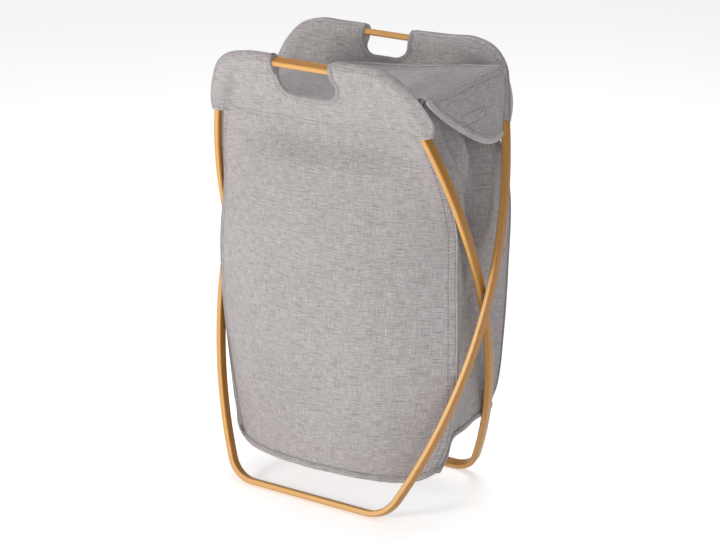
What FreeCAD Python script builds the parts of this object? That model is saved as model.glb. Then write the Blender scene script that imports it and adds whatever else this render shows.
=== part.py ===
"""Laundry hamper: two crossed bent-bamboo loops, a sewn bag between them and a soft lid.

Millimetres.  +Z is up, +X is to the right, -Y is the front.  The origin is on the floor, below
the middle of the hamper.  The outer loop stands on the front foot and carries the rear handle.
The inner loop stands on the rear foot and carries the front handle.  They cross at the pivots.
"""
import FreeCAD, Part
import math
import os
import Sketcher

V = FreeCAD.Vector
SHEET = "Sizes"

# Driving dimensions, in millimetres and degrees.
DIMENSIONS = [
    ("lean", 19.57),                # each loop's angle from upright
    ("rail_span", 679.2),           # foot rail to handle rail, along the loop
    ("strip_thickness", 9.0),       # bamboo, in the plane of the loop
    ("strip_width", 15.0),          # bamboo, across the plane of the loop
    ("strip_edge_radius", 2.5),
    ("bow_radius", 760.0),          # the barrel curve of the legs
    ("outer_pivot_x", 229.5),       # outer leg's centreline at the pivot
    ("outer_bow_rise", 35.4),       # centre of the outer curve above the pivot
    ("inner_bow_rise", 5.4),
    ("foot_corner_radius", 50.0),
    ("top_corner_radius", 50.0),
    ("lap_rise", 92.0),             # glued half-lap joint, above the pivot
    ("lap_length", 46.0),
    ("foot_bevel", 1.2),            # flat that the loop stands on
    ("washer_thickness", 2.7),
    ("washer_seat", 0.1),           # between the inner leg and its washer
    ("washer_radius", 7.0),
    ("pivot_gap", 0.8),             # room between the legs beside the washer
    ("screw_radius", 3.0),
    ("screw_clearance", 0.06),
    ("screw_head_radius", 5.2),
    ("screw_head_height", 3.0),
    ("screw_gap", 0.3),             # round the head and behind it
    ("hex_radius", 2.4),
    ("hex_depth", 1.8),
    ("insert_radius", 4.5),
    ("insert_length", 6.0),
    ("header_depth", 90.2),         # handle rail down to the seam that closes the header
    ("header_skin", 1.2),
    ("header_ease", 0.6),           # room between bamboo and cloth
    ("front_handle_width", 98.0),
    ("front_handle_shift", -7.0),
    ("front_handle_drop", 52.0),    # bottom of the hand opening, below the handle rail
    ("rear_handle_width", 80.0),
    ("rear_handle_shift", -17.0),
    ("rear_handle_drop", 32.0),
    ("handle_corner_radius", 24.0),
    ("binding_thickness", 1.6),
    ("binding_lip", 0.8),
    ("wall", 1.5),                  # cloth of the bag
    ("panel_drop", 4.5),            # header's seam down to the top of the panels
    ("bag_base_height", 88.0),      # hem, half way from front to rear
    ("bag_base_slope", 0.26),       # the hem rises towards the rear
    ("bag_front_reach", 118.0),
    ("bag_rear_reach", 106.0),
    ("front_seam_share", 0.42),     # side seams: share of the panel's reach
    ("rear_seam_share", 0.80),
    ("header_clearance", 1.5),      # side seams to the header's lining
    ("gusset_crease", 14.0),
    ("mouth_spread", 0.8),          # how closely the mouth follows the headers' spread
    ("hem_height", 6.0),
    ("bottom_thickness", 2.0),
    ("mouth_roll", 2.25),           # height of the turned edge over the right panel
    ("mouth_rise", 19.0),           # heights above the top of the panels
    ("lid_hinge_rise", 32.0),
    ("lid_crease_rise", 61.0),
    ("lid_overhang", 13.0),         # crease beyond the side panel
    ("lid_seam", 1.0),              # the lid's hinge inside the left panel
    ("lid_seat", 2.0),              # left panel's top below the hinge
    ("lid_layer", 1.5),
    ("lid_clearance", 2.8),         # lid's binding to the headers
    ("tongue_drop", 84.0),
    ("tongue_shoulder_drop", 40.0),
    ("tongue_shoulder_inset", 17.0),
    ("tongue_flare", 12.0),
    ("tongue_gap", 1.4),
    ("patch_length", 60.0),
    ("patch_height", 18.0),
    ("patch_thickness", 1.0),
    ("patch_margin", 0.5),          # loop tape below the mouth
]

# Sections of the bag: share of the height from the hem to the top, room inside the legs, and
# shares of the front reach, the rear reach and the gusset's crease.
BAG_SECTIONS = [
    (0.000, -4.0, 1.00, 1.00, 1.0),
    (0.218, 5.7, 1.02, 1.00, 1.4),
    (0.506, 8.5, 1.00, 1.00, 1.0),
    (0.773, 5.9, 0.93, 0.98, 0.5),
]
TOP_ROOM = 0.9                      # room inside the legs at the top of the panels
IN_A_ROW = 1e-6                     # three points this near to a line make a line


class Size:
    """A length worked out from the sheet: its number now, and the expression that binds it."""

    def __init__(self, text, value):
        self.text = text
        self.value = value

    def _join(self, other, sign, value):
        right = other.text if isinstance(other, Size) else repr(other)
        return Size("(%s %s %s)" % (self.text, sign, right), value)

    def __add__(self, other):
        return self._join(other, "+", self.value + number(other))

    def __sub__(self, other):
        return self._join(other, "-", self.value - number(other))

    def __mul__(self, other):
        return self._join(other, "*", self.value * number(other))

    def __truediv__(self, other):
        return self._join(other, "/", self.value / number(other))

    def __neg__(self):
        return self * -1.0


def number(thing):
    return thing.value if isinstance(thing, Size) else thing


def cosine(angle):
    return Size("cos(%s * 1 deg)" % angle.text, math.cos(math.radians(angle.value)))


def sine(angle):
    return Size("sin(%s * 1 deg)" % angle.text, math.sin(math.radians(angle.value)))


def other_side(long_side, short_side):
    """The third side of a right triangle."""
    text = "sqrt(%s ^ 2 - %s ^ 2)" % (long_side.text, short_side.text)
    return Size(text, math.sqrt(long_side.value ** 2 - short_side.value ** 2))


def bind(thing, path, size):
    thing.setExpression(path, size.text)


def make_sheet(doc):
    sheet = doc.addObject("Spreadsheet::Sheet", SHEET)
    sizes = {}
    for row, (name, value) in enumerate(DIMENSIONS, start=1):
        sheet.set("A%d" % row, name)
        sheet.set("B%d" % row, str(value))
        sheet.setAlias("B%d" % row, name)
        sizes[name] = Size("%s.%s" % (SHEET, name), value)
    doc.recompute()
    return sizes


# ---------------------------------------------------------------- sketches and features

def body_at(doc, label, lean=None, height=None):
    """A body whose own XZ plane is the plane of a loop, through the pivots."""
    body = doc.addObject("PartDesign::Body", label)
    body.Label = label
    if lean is not None:
        body.Placement = FreeCAD.Placement(V(0, 0, 0), FreeCAD.Rotation(V(1, 0, 0), lean.value))
        bind(body, "Placement.Rotation.Angle", lean)
        bind(body, "Placement.Base.z", height)
    return body


def sketch_on(body, role, name):
    plane = [p for p in body.Origin.OriginFeatures if p.Role == role][0]
    sketch = body.newObject("Sketcher::SketchObject", name)
    sketch.AttachmentSupport = (plane, [""])
    sketch.MapMode = "FlatFace"
    return sketch


def pin_point(sketch, edge, end, across, up):
    """Fix a vertex at two bound distances from the sketch's origin."""
    for kind, size in (("DistanceX", across), ("DistanceY", up)):
        index = sketch.addConstraint(Sketcher.Constraint(kind, -1, 1, edge, end, number(size)))
        if isinstance(size, Size):
            bind(sketch, "Constraints[%d]" % index, size)


def arc_through(sketch, start, centre, end, radius):
    """Add the shorter arc about a centre from start to end."""
    along = (start + end) * 0.5 - centre
    middle = centre + along * (radius / along.Length)
    sketch.addGeometry(Part.Arc(start, middle, end), False)


def outline(sketch, corners, arcs):
    """A closed outline through bound vertices.

    corners lists (across, up) pairs in order, and arcs gives, for each edge that isn't
    straight, its number, its radius and its centre.
    """
    count = len(corners)
    points = [V(number(x), number(y), 0) for x, y in corners]
    bent = {edge: (radius, centre) for edge, radius, centre in arcs}
    joints = []
    for i in range(count):
        start, end = points[i], points[(i + 1) % count]
        turned = False
        if i in bent:
            radius, centre = bent[i]
            middle = V(number(centre[0]), number(centre[1]), 0)
            arc_through(sketch, start, middle, end, radius.value)
            turned = (sketch.getPoint(i, 1) - start).Length > (sketch.getPoint(i, 1) - end).Length
        else:
            sketch.addGeometry(Part.LineSegment(start, end), False)
        joints.append((2, 1) if turned else (1, 2))
    for i in range(count):
        following = (i + 1) % count
        sketch.addConstraint(Sketcher.Constraint("Coincident", i, joints[i][1],
                                                 following, joints[following][0]))
    for i, (x, y) in enumerate(corners):
        pin_point(sketch, i, joints[i][0], x, y)
    for edge, (radius, centre) in bent.items():
        index = sketch.addConstraint(Sketcher.Constraint("Radius", edge, radius.value))
        bind(sketch, "Constraints[%d]" % index, radius)


def polygon(sketch, corners):
    outline(sketch, corners, [])


def barrel(sketch, bow, grow, low, high, foot_radius, top_radius):
    """A loop's outline: straight ends, bowed sides and rounded corners between them.

    The corners at the low end stay sharp where foot_radius is None.
    """
    radius = bow["radius"] + grow
    rise, centre_x = bow["rise"], bow["centre_x"]

    def rounded(end, corner_radius, up):
        """Centre of a corner arc, and where it meets the straight end and the bowed side."""
        lift = end - corner_radius if up else end + corner_radius
        reach = radius - corner_radius
        across = other_side(reach, lift - rise)
        share = radius / reach
        return ((centre_x + across, lift), (centre_x + across, end),
                (centre_x + across * share, rise + (lift - rise) * share))

    def mirrored(point):
        return (-point[0], point[1])

    top_centre, on_rail, on_leg = rounded(high, top_radius, True)
    bow_centre = (centre_x, rise)
    if foot_radius is None:
        low_corner = (centre_x + other_side(radius, low - rise), low)
        corners = [mirrored(low_corner), low_corner, on_leg, on_rail, mirrored(on_rail),
                   mirrored(on_leg)]
        arcs = [(1, radius, bow_centre), (2, top_radius, top_centre),
                (4, top_radius, mirrored(top_centre)), (5, radius, mirrored(bow_centre))]
    else:
        foot_centre, on_foot, on_shin = rounded(low, foot_radius, False)
        corners = [mirrored(on_foot), on_foot, on_shin, on_leg, on_rail, mirrored(on_rail),
                   mirrored(on_leg), mirrored(on_shin)]
        arcs = [(1, foot_radius, foot_centre), (2, radius, bow_centre),
                (3, top_radius, top_centre), (5, top_radius, mirrored(top_centre)),
                (6, radius, mirrored(bow_centre)), (7, foot_radius, mirrored(foot_centre))]
    outline(sketch, corners, arcs)


def pad(body, sketch, name, length, midplane=False, towards_rear=False):
    feature = body.newObject("PartDesign::Pad", name)
    feature.Profile = sketch
    feature.Midplane = midplane
    feature.Reversed = towards_rear
    bind(feature, "Length", length)
    return feature


def pocket(body, sketch, name, length, midplane=False, towards_rear=False):
    """A pocket cuts against its sketch's normal, so it is turned round to go forwards."""
    feature = body.newObject("PartDesign::Pocket", name)
    feature.Profile = sketch
    feature.Midplane = midplane
    feature.Reversed = not towards_rear
    bind(feature, "Length", length)
    return feature


def rim_edges(shape, half_width):
    """Every edge that lies in the two side faces of a strip."""
    names = []
    for i, edge in enumerate(shape.Edges, start=1):
        box = edge.BoundBox
        if box.YLength < 1e-4 and abs(abs(box.Center.y) - half_width) < 1e-4:
            names.append("Edge%d" % i)
    return names


# ---------------------------------------------------------------- bamboo loops

def bow_of(s, pivot_x, rise):
    """The circle that a loop's legs follow, seen square to the loop."""
    return {"radius": s["bow_radius"], "rise": rise,
            "centre_x": pivot_x - other_side(s["bow_radius"], rise)}


def loop_half(doc, s, label, bow, lean, height, bore, upper):
    """One glued half of a loop: the foot with its legs, or the handle rail with its legs."""
    body = body_at(doc, label, lean, height)
    half_span = s["rail_span"] / 2
    half_strip = s["strip_thickness"] / 2
    outer = sketch_on(body, "XZ_Plane", label + "_outline")
    barrel(outer, bow, half_strip, -half_span - half_strip, half_span + half_strip,
           s["foot_corner_radius"] + half_strip, s["top_corner_radius"] + half_strip)
    pad(body, outer, label + "_block", s["strip_width"], midplane=True)
    inner = sketch_on(body, "XZ_Plane", label + "_hollow_outline")
    barrel(inner, bow, -half_strip, half_strip - half_span, half_span - half_strip,
           s["foot_corner_radius"] - half_strip, s["top_corner_radius"] - half_strip)
    base = pocket(body, inner, label + "_hollow", s["strip_width"] * 2, midplane=True)
    doc.recompute()
    eased = body.newObject("PartDesign::Fillet", label + "_eased_edges")
    eased.Base = (base, rim_edges(base.Shape, s["strip_width"].value / 2))
    bind(eased, "Radius", s["strip_edge_radius"])

    # The half-lap: the lower half's outer side runs up past the upper half's inner side.
    start, end = s["lap_rise"], s["lap_rise"] + s["lap_length"]
    middle_low = bow["centre_x"] + other_side(bow["radius"], start - bow["rise"])
    middle_high = bow["centre_x"] + other_side(bow["radius"], end - bow["rise"])
    beyond = bow["radius"] + bow["centre_x"] + s["strip_width"]
    shoulder = middle_low - s["strip_width"]
    away = -s["rail_span"] if upper else s["rail_span"]
    cutter = sketch_on(body, "XZ_Plane", label + "_lap_outline")
    polygon(cutter, [(-beyond, away), (beyond, away), (beyond, end), (middle_high, end),
                     (middle_low, start), (shoulder, start), (-shoulder, start),
                     (-middle_low, start), (-middle_high, end), (-beyond, end)])
    pocket(body, cutter, label + "_lap", s["strip_width"] * 2, midplane=True)
    if bore and not upper:
        for name, radius, end_x in bore:
            circle = sketch_on(body, "YZ_Plane", label + "_" + name + "_circle")
            circle.addGeometry(Part.Circle(V(0, 0, 0), V(0, 0, 1), radius.value), False)
            circle.addConstraint(Sketcher.Constraint("Coincident", 0, 3, -1, 1))
            index = circle.addConstraint(Sketcher.Constraint("Radius", 0, radius.value))
            bind(circle, "Constraints[%d]" % index, radius)
            pocket(body, circle, label + "_" + name, end_x * 2, midplane=True)
    doc.recompute()
    return body


def stand_on_floor(doc, s, body, label):
    """Cut the flat that the foot rail stands on."""
    floor = doc.addObject("Part::Box", label + "_floor")
    bind(floor, "Length", s["rail_span"])
    bind(floor, "Width", s["rail_span"])
    bind(floor, "Height", s["strip_width"])
    bind(floor, "Placement.Base.x", -s["rail_span"] / 2)
    bind(floor, "Placement.Base.y", -s["rail_span"] / 2)
    bind(floor, "Placement.Base.z", -s["strip_width"])
    body.Label = label + "_body"
    cut = doc.addObject("Part::Cut", label + "_on_floor")
    cut.Base = body
    cut.Tool = floor
    cut.Label = label
    return cut


# ---------------------------------------------------------------- pivots

def cylinder_along_x(doc, name, radius, start, length, height):
    tube = doc.addObject("Part::Cylinder", name)
    tube.Placement = FreeCAD.Placement(V(0, 0, 0), FreeCAD.Rotation(V(0, 1, 0), 90))
    bind(tube, "Radius", radius)
    bind(tube, "Height", length)
    bind(tube, "Placement.Base.x", start)
    bind(tube, "Placement.Base.z", height)
    return tube


def both_sides(doc, label, piece):
    """A piece on the right and its mirror image on the left, as two solids of one node."""
    mirror = doc.addObject("Part::Mirroring", label + "_left")
    mirror.Source = piece
    mirror.Normal = V(1, 0, 0)
    pair = doc.addObject("Part::Compound", label + "_pair")
    pair.Links = [piece, mirror]
    pair.Label = label
    return pair


def cut_of(doc, name, base, tool):
    cut = doc.addObject("Part::Cut", name)
    cut.Base = base
    cut.Tool = tool
    return cut


def make_pivots(doc, s, places):
    """Joint screw from inside each inner leg, its washer, and the threaded insert it bites in."""
    height = places["pivot_height"]
    head_start = places["inner_face"] + s["screw_gap"]
    shank_end = places["outer_face"] + s["insert_length"]
    head = cylinder_along_x(doc, "screw_head", s["screw_head_radius"], head_start,
                            s["screw_head_height"] - s["screw_gap"], height)
    shank = cylinder_along_x(doc, "screw_shank", s["screw_radius"], head_start,
                             shank_end - head_start, height)
    solid = doc.addObject("Part::Fuse", "screw_solid")
    solid.Base = head
    solid.Tool = shank
    socket = doc.addObject("Part::Prism", "hex_socket")
    socket.Polygon = 6
    socket.Placement = FreeCAD.Placement(V(0, 0, 0), FreeCAD.Rotation(V(0, 1, 0), 90))
    bind(socket, "Circumradius", s["hex_radius"])
    bind(socket, "Height", s["screw_head_height"])
    bind(socket, "Placement.Base.x", head_start + s["hex_depth"] - s["screw_head_height"])
    bind(socket, "Placement.Base.z", height)
    screws = both_sides(doc, "pivot_screws", cut_of(doc, "screw", solid, socket))

    rings = {}
    for label, radius, start, length in (
            ("pivot_washers", s["washer_radius"], places["washer_start"], s["washer_thickness"]),
            ("threaded_inserts", s["insert_radius"], places["outer_face"], s["insert_length"])):
        disc = cylinder_along_x(doc, label + "_disc", radius, start, length, height)
        hole = cylinder_along_x(doc, label + "_hole", s["screw_radius"], start, length, height)
        rings[label] = both_sides(doc, label, cut_of(doc, label + "_ring", disc, hole))
    return [screws, rings["pivot_washers"], rings["threaded_inserts"]]


# ---------------------------------------------------------------- headers

def hand_outline(sketch, s, hand, grow, top):
    """Outline of a hand opening: a U that is open at the top of the header."""
    left = hand["shift"] - hand["width"] / 2 - grow
    right = hand["shift"] + hand["width"] / 2 + grow
    bottom = s["rail_span"] / 2 - hand["drop"] - grow
    radius = s["handle_corner_radius"] + grow
    corners = [(left + radius, bottom), (right - radius, bottom), (right, bottom + radius),
               (right, top), (left, top), (left, bottom + radius)]
    outline(sketch, corners, [(1, radius, (right - radius, bottom + radius)),
                              (5, radius, (left + radius, bottom + radius))])


def header_layer(doc, s, label, bow, lean, height, hand, towards_rear):
    """One layer of the cloth pocket that holds the top of a loop."""
    body = body_at(doc, label, lean, height)
    half_span = s["rail_span"] / 2
    room = s["strip_thickness"] / 2 + s["header_ease"]
    outside = room + s["header_skin"]
    seam = half_span - s["header_depth"]
    half_width = s["strip_width"] / 2 + s["header_ease"]
    edge = sketch_on(body, "XZ_Plane", label + "_outline")
    barrel(edge, bow, outside, seam, half_span + outside, None, s["top_corner_radius"] + outside)
    pad(body, edge, label + "_block", half_width + s["header_skin"], towards_rear=towards_rear)
    hollow = sketch_on(body, "XZ_Plane", label + "_hollow_outline")
    barrel(hollow, bow, room, seam - s["strip_width"], half_span + room, None,
           s["top_corner_radius"] + room)
    pocket(body, hollow, label + "_hollow", half_width, towards_rear=towards_rear)
    cutter = sketch_on(body, "XZ_Plane", label + "_hand_outline")
    hand_outline(cutter, s, hand, s["binding_thickness"], half_span + s["strip_width"])
    pocket(body, cutter, label + "_hand_opening", s["strip_width"] * 4, midplane=True)
    doc.recompute()
    return body


def handle_binding(doc, s, label, lean, height, hand):
    """The bound edge of a hand opening: a U of tape from one layer to the other."""
    body = body_at(doc, label, lean, height)
    half_span = s["rail_span"] / 2
    depth = s["strip_width"] + (s["header_ease"] + s["header_skin"] + s["binding_lip"]) * 2
    rim = half_span + s["strip_thickness"] / 2 + s["header_ease"] + s["header_skin"]
    edge = sketch_on(body, "XZ_Plane", label + "_outline")
    hand_outline(edge, s, hand, s["binding_thickness"], rim)
    pad(body, edge, label + "_block", depth, midplane=True)
    hollow = sketch_on(body, "XZ_Plane", label + "_hand_outline")
    hand_outline(hollow, s, hand, Size("0", 0.0), half_span + s["strip_width"])
    pocket(body, hollow, label + "_hand", depth * 2, midplane=True)
    way = sketch_on(body, "YZ_Plane", label + "_rail_outline")
    across = s["strip_width"] / 2 + s["header_ease"] / 2
    high = half_span + s["strip_thickness"] / 2 + s["header_ease"] / 2
    low = half_span - s["strip_thickness"] / 2 - s["header_ease"] / 2
    polygon(way, [(-across, low), (across, low), (across, high), (-across, high)])
    pocket(body, way, label + "_rail_way", s["rail_span"], midplane=True)
    doc.recompute()
    return body


# ---------------------------------------------------------------- bag

def leg_inside(s, z):
    """How far from the middle the nearer leg's inner face is at a height."""
    n = {name: size.value for name, size in s.items()}
    along = (z - n["pivot_height"]) / math.cos(math.radians(n["lean"]))
    faces = []
    for pivot_x, rise in ((n["outer_pivot_x"], n["outer_bow_rise"]),
                          (n["inner_pivot_x"], n["inner_bow_rise"])):
        centre_x = pivot_x - math.sqrt(n["bow_radius"] ** 2 - rise ** 2)
        faces.append(centre_x + math.sqrt(n["bow_radius"] ** 2 - (along - rise) ** 2))
    return min(faces) - n["strip_thickness"] / 2


def bag_levels(s):
    """Sections of the bag, from the hem up: height, half width, front and rear reach, and so on.

    front_seam and rear_seam are how far the side seams lie in front of and behind the middle,
    crease is how far the gusset folds in, and slope tips the section so that the hem rises
    towards the rear.
    """
    n = {name: size.value for name, size in s.items()}
    base, top = n["bag_base_height"], n["bag_top_height"]
    levels = []
    for share, room, front, rear, crease in BAG_SECTIONS:
        z = base + (top - base) * share
        levels.append({"z": z, "x": leg_inside(s, z) - room, "front": n["bag_front_reach"] * front,
                       "rear": n["bag_rear_reach"] * rear,
                       "front_seam": n["bag_front_reach"] * n["front_seam_share"],
                       "rear_seam": n["bag_rear_reach"] * n["rear_seam_share"],
                       "crease": n["gusset_crease"] * crease,
                       "slope": 0.0 if share else n["bag_base_slope"]})
    plane = (top - n["pivot_height"]) * math.tan(math.radians(n["lean"]))
    reach = plane + n["strip_width"] / 2 + n["header_ease"]
    seam = (plane - n["strip_width"] / 2 - n["header_ease"] - n["header_skin"]
            - n["header_clearance"])
    levels.append({"z": top, "x": leg_inside(s, top) - TOP_ROOM, "front": reach, "rear": reach,
                   "front_seam": seam, "rear_seam": seam, "crease": 0.0, "slope": 0.0})
    return levels


def bag_point(level, x, y):
    return V(x, y, level["z"] + level["slope"] * y)


def curve(level, start, middle, end):
    """An arc through three plan points, or a line where they are in a row."""
    points = [bag_point(level, *p) for p in (start, middle, end)]
    if (points[1] - (points[0] + points[2]) * 0.5).Length < IN_A_ROW:
        return Part.LineSegment(points[0], points[2]).toShape()
    return Part.Arc(*points).toShape()


def front_or_rear_strip(level, wall, side):
    """Section of the front panel (side -1) or the rear panel (side 1)."""
    x = level["x"]
    seam, reach = ((level["front_seam"], level["front"]) if side < 0
                   else (level["rear_seam"], level["rear"]))
    outer = curve(level, (-x, side * seam), (0, side * reach), (x, side * seam))
    inner = curve(level, (x - wall, side * (seam - wall)), (0, side * (reach - wall)),
                  (wall - x, side * (seam - wall)))
    return closed_strip(outer, inner)


def gusset_strip(level, wall, side):
    """Section of the left (-1) or right (1) side panel, which folds in along its middle."""
    x, front, rear = level["x"], level["front_seam"], level["rear_seam"]
    middle, fold = (rear - front) / 2, x - level["crease"]
    outer = curve(level, (side * x, -front), (side * fold, middle), (side * x, rear))
    inner = curve(level, (side * (x - wall), rear - wall), (side * (fold - wall), middle),
                  (side * (x - wall), wall - front))
    return closed_strip(outer, inner)


def closed_strip(outer, inner):
    first, last = outer.Vertexes[0].Point, outer.Vertexes[-1].Point
    begin, end = inner.Vertexes[0].Point, inner.Vertexes[-1].Point
    return Part.Wire([outer, Part.LineSegment(last, begin).toShape(), inner,
                      Part.LineSegment(end, first).toShape()])


def bag_outline(level, inset, drop=0.0):
    """The whole section as one closed wire, moved in by the wall."""
    x, fold = level["x"] - inset, level["x"] - level["crease"] - inset
    front_seam, rear_seam = level["front_seam"] - inset, level["rear_seam"] - inset
    middle = (rear_seam - front_seam) / 2
    wire = Part.Wire([
        curve(level, (-x, -front_seam), (0, inset - level["front"]), (x, -front_seam)),
        curve(level, (x, -front_seam), (fold, middle), (x, rear_seam)),
        curve(level, (x, rear_seam), (0, level["rear"] - inset), (-x, rear_seam)),
        curve(level, (-x, rear_seam), (-fold, middle), (-x, -front_seam)),
    ])
    wire.translate(V(0, 0, -drop))
    return wire


def soft_piece(doc, label, shape):
    piece = doc.addObject("Part::Feature", label)
    piece.Shape = shape
    piece.Label = label
    piece.Placement = FreeCAD.Placement()
    return piece


def make_bag(doc, s):
    levels = bag_levels(s)
    wall = s["wall"].value
    pieces = []
    for label, side in (("front_panel", -1), ("rear_panel", 1)):
        sections = [front_or_rear_strip(level, wall, side) for level in levels]
        pieces.append(soft_piece(doc, label, Part.makeLoft(sections, True, True)))
    top = levels[-1]
    spread = math.tan(math.radians(s["lean"].value)) * s["mouth_spread"].value
    for label, side, height in (("left_side_panel", -1,
                                 s["lid_hinge_height"].value - s["lid_seat"].value),
                                ("right_side_panel", 1, s["mouth_height"].value)):
        # Above the headers' seams the side panel widens with the gap between the headers.
        wider = (height - top["z"]) * spread
        mouth = dict(top, z=height, front_seam=top["front_seam"] + wider,
                     rear_seam=top["rear_seam"] + wider)
        sections = [gusset_strip(level, wall, side) for level in levels + [mouth]]
        pieces.append(soft_piece(doc, label, Part.makeLoft(sections, True, True)))
        if side > 0:
            rim = Part.Face(gusset_strip(mouth, wall, side))
            pieces.append(soft_piece(doc, "mouth_hem", rim.extrude(V(0, 0, s["mouth_roll"].value))))
    base = levels[0]
    hem = s["hem_height"].value
    block, core = [Part.Face(bag_outline(base, inset)).extrude(V(0, 0, -hem))
                   for inset in (0.0, wall)]
    pieces.append(soft_piece(doc, "bottom_hem", block.cut(core)))
    floor = Part.Face(bag_outline(base, wall, hem / 2))
    pieces.append(soft_piece(doc, "bottom_panel",
                             floor.extrude(V(0, 0, s["bottom_thickness"].value))))
    return pieces


# ---------------------------------------------------------------- lid and tongue

def lid_slab(s, low, high, inside, outside):
    """A slab between two heights above the lid's underside and two distances from its edge."""
    n = {name: size.value for name, size in s.items()}
    hinge_x = n["lid_seam"] - n["bag_top_half_width"]
    ends = []
    for x, z, half in ((hinge_x, n["lid_hinge_height"], n["lid_hinge_half_depth"]),
                       (n["lid_crease_x"], n["lid_crease_height"], n["lid_crease_half_depth"])):
        near = -half if inside is None else half + inside
        corners = [V(x, near, z + low), V(x, half + outside, z + low),
                   V(x, half + outside, z + high), V(x, near, z + high)]
        ends.append(Part.makePolygon(corners + corners[:1]))
    return Part.makeLoft(ends, True, True)


def make_lid(doc, s):
    layer = s["lid_layer"].value
    tape = s["binding_thickness"].value
    pieces = [soft_piece(doc, "lid_lining", lid_slab(s, 0.0, layer, None, 0.0)),
              soft_piece(doc, "lid_panel", lid_slab(s, layer, layer * 2, None, 0.0))]
    strip = lid_slab(s, -tape / 2, layer * 2 + tape / 2, 0.0, tape)
    mirror = strip.mirror(V(0, 0, 0), V(0, 1, 0))
    pieces.append(soft_piece(doc, "lid_binding", Part.makeCompound([strip, mirror])))
    return pieces


def tongue_outline(sketch, s, grow):
    """Straight shoulders from the crease, then a round end."""
    top = s["lid_crease_half_depth"] + grow
    shoulder = s["lid_crease_half_depth"] - s["tongue_shoulder_inset"] + grow
    drop = s["tongue_shoulder_drop"]
    depth = s["tongue_drop"] + grow - drop
    radius = (shoulder * shoulder + depth * depth) / (depth * 2)
    corners = [(top, Size("0", 0.0)), (-top, Size("0", 0.0)), (-shoulder, -drop),
               (shoulder, -drop)]
    outline(sketch, corners, [(2, radius, (Size("0", 0.0), radius - drop - depth))])


def tongue_body(doc, s, label, start, thickness, grow):
    """A flat piece of the tongue, which hangs from the crease and flares outwards."""
    body = doc.addObject("PartDesign::Body", label)
    body.Label = label
    body.Placement = FreeCAD.Placement(V(0, 0, 0),
                                       FreeCAD.Rotation(V(0, -1, 0), s["tongue_flare"].value))
    bind(body, "Placement.Rotation.Angle", s["tongue_flare"])
    bind(body, "Placement.Base.x", s["lid_crease_x"] + s["tongue_gap"])
    bind(body, "Placement.Base.z", s["lid_crease_height"] - s["tongue_gap"])
    sketch = sketch_on(body, "YZ_Plane", label + "_outline")
    sketch.AttachmentOffset = FreeCAD.Placement(V(0, 0, number(start)), FreeCAD.Rotation())
    bind(sketch, "AttachmentOffset.Base.z", start)
    tongue_outline(sketch, s, grow)
    pad(body, sketch, label + "_block", thickness)
    return body


def make_tongue(doc, s):
    layer = s["lid_layer"]
    tape = s["binding_thickness"]
    flush = Size("0", 0.0)
    lining = tongue_body(doc, s, "tongue_lining", flush, layer, flush)
    panel = tongue_body(doc, s, "tongue_panel", layer, layer, flush)
    binding = tongue_body(doc, s, "tongue_binding", -(tape / 2), layer * 2 + tape, tape)
    inner = sketch_on(binding, "YZ_Plane", "tongue_binding_inner")
    tongue_outline(inner, s, flush)
    hollow = binding.newObject("PartDesign::Pocket", "tongue_binding_hollow")
    hollow.Profile = inner
    hollow.Midplane = True
    bind(hollow, "Length", s["strip_width"] * 2)

    hook = doc.addObject("Part::Box", "hook_patch")
    hook.Label = "hook_patch"
    bind(hook, "Length", s["patch_thickness"])
    bind(hook, "Width", s["patch_length"])
    bind(hook, "Height", s["patch_height"])
    flare = s["tongue_flare"]
    down = s["tongue_shoulder_drop"] + s["patch_height"]
    hook.Placement = FreeCAD.Placement(V(0, 0, 0), FreeCAD.Rotation(V(0, -1, 0), flare.value))
    bind(hook, "Placement.Rotation.Angle", flare)
    bind(hook, "Placement.Base.x", s["lid_crease_x"] + s["tongue_gap"]
         + down * sine(flare) - s["patch_thickness"] * cosine(flare))
    bind(hook, "Placement.Base.y", -s["patch_length"] / 2)
    bind(hook, "Placement.Base.z", s["lid_crease_height"] - s["tongue_gap"]
         - down * cosine(flare) - s["patch_thickness"] * sine(flare))

    loop = doc.addObject("Part::Box", "loop_patch")
    loop.Label = "loop_patch"
    bind(loop, "Length", s["patch_thickness"])
    bind(loop, "Width", s["patch_length"])
    bind(loop, "Height", s["patch_height"])
    bind(loop, "Placement.Base.x", s["bag_top_half_width"])
    bind(loop, "Placement.Base.y", -s["patch_length"] / 2)
    bind(loop, "Placement.Base.z", s["mouth_height"] - s["patch_height"] - s["patch_margin"])
    return [lining, panel, binding, hook, loop]


# ---------------------------------------------------------------- whole hamper

def soft_sizes(s):
    """Sizes of the bag and the lid that follow from the loops and the headers."""
    seam = s["rail_span"] / 2 - s["header_depth"]
    top = s["pivot_height"] + seam * cosine(s["lean"]) - s["panel_drop"]
    s["bag_top_height"] = top
    s["bag_top_half_width"] = Size("%.9f" % (leg_inside(s, top.value) - TOP_ROOM),
                                   leg_inside(s, top.value) - TOP_ROOM)
    s["mouth_height"] = top + s["mouth_rise"]
    s["lid_hinge_height"] = top + s["lid_hinge_rise"]
    s["lid_crease_height"] = top + s["lid_crease_rise"]
    s["lid_crease_x"] = s["bag_top_half_width"] + s["lid_overhang"]
    header = s["strip_width"] / 2 + s["header_ease"] + s["header_skin"]
    margin = header / cosine(s["lean"]) + s["binding_thickness"] + s["lid_clearance"]
    for place in ("hinge", "crease"):
        rise = s["lid_%s_height" % place] - s["pivot_height"]
        s["lid_%s_half_depth" % place] = (rise * sine(s["lean"]) / cosine(s["lean"])) - margin


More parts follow.
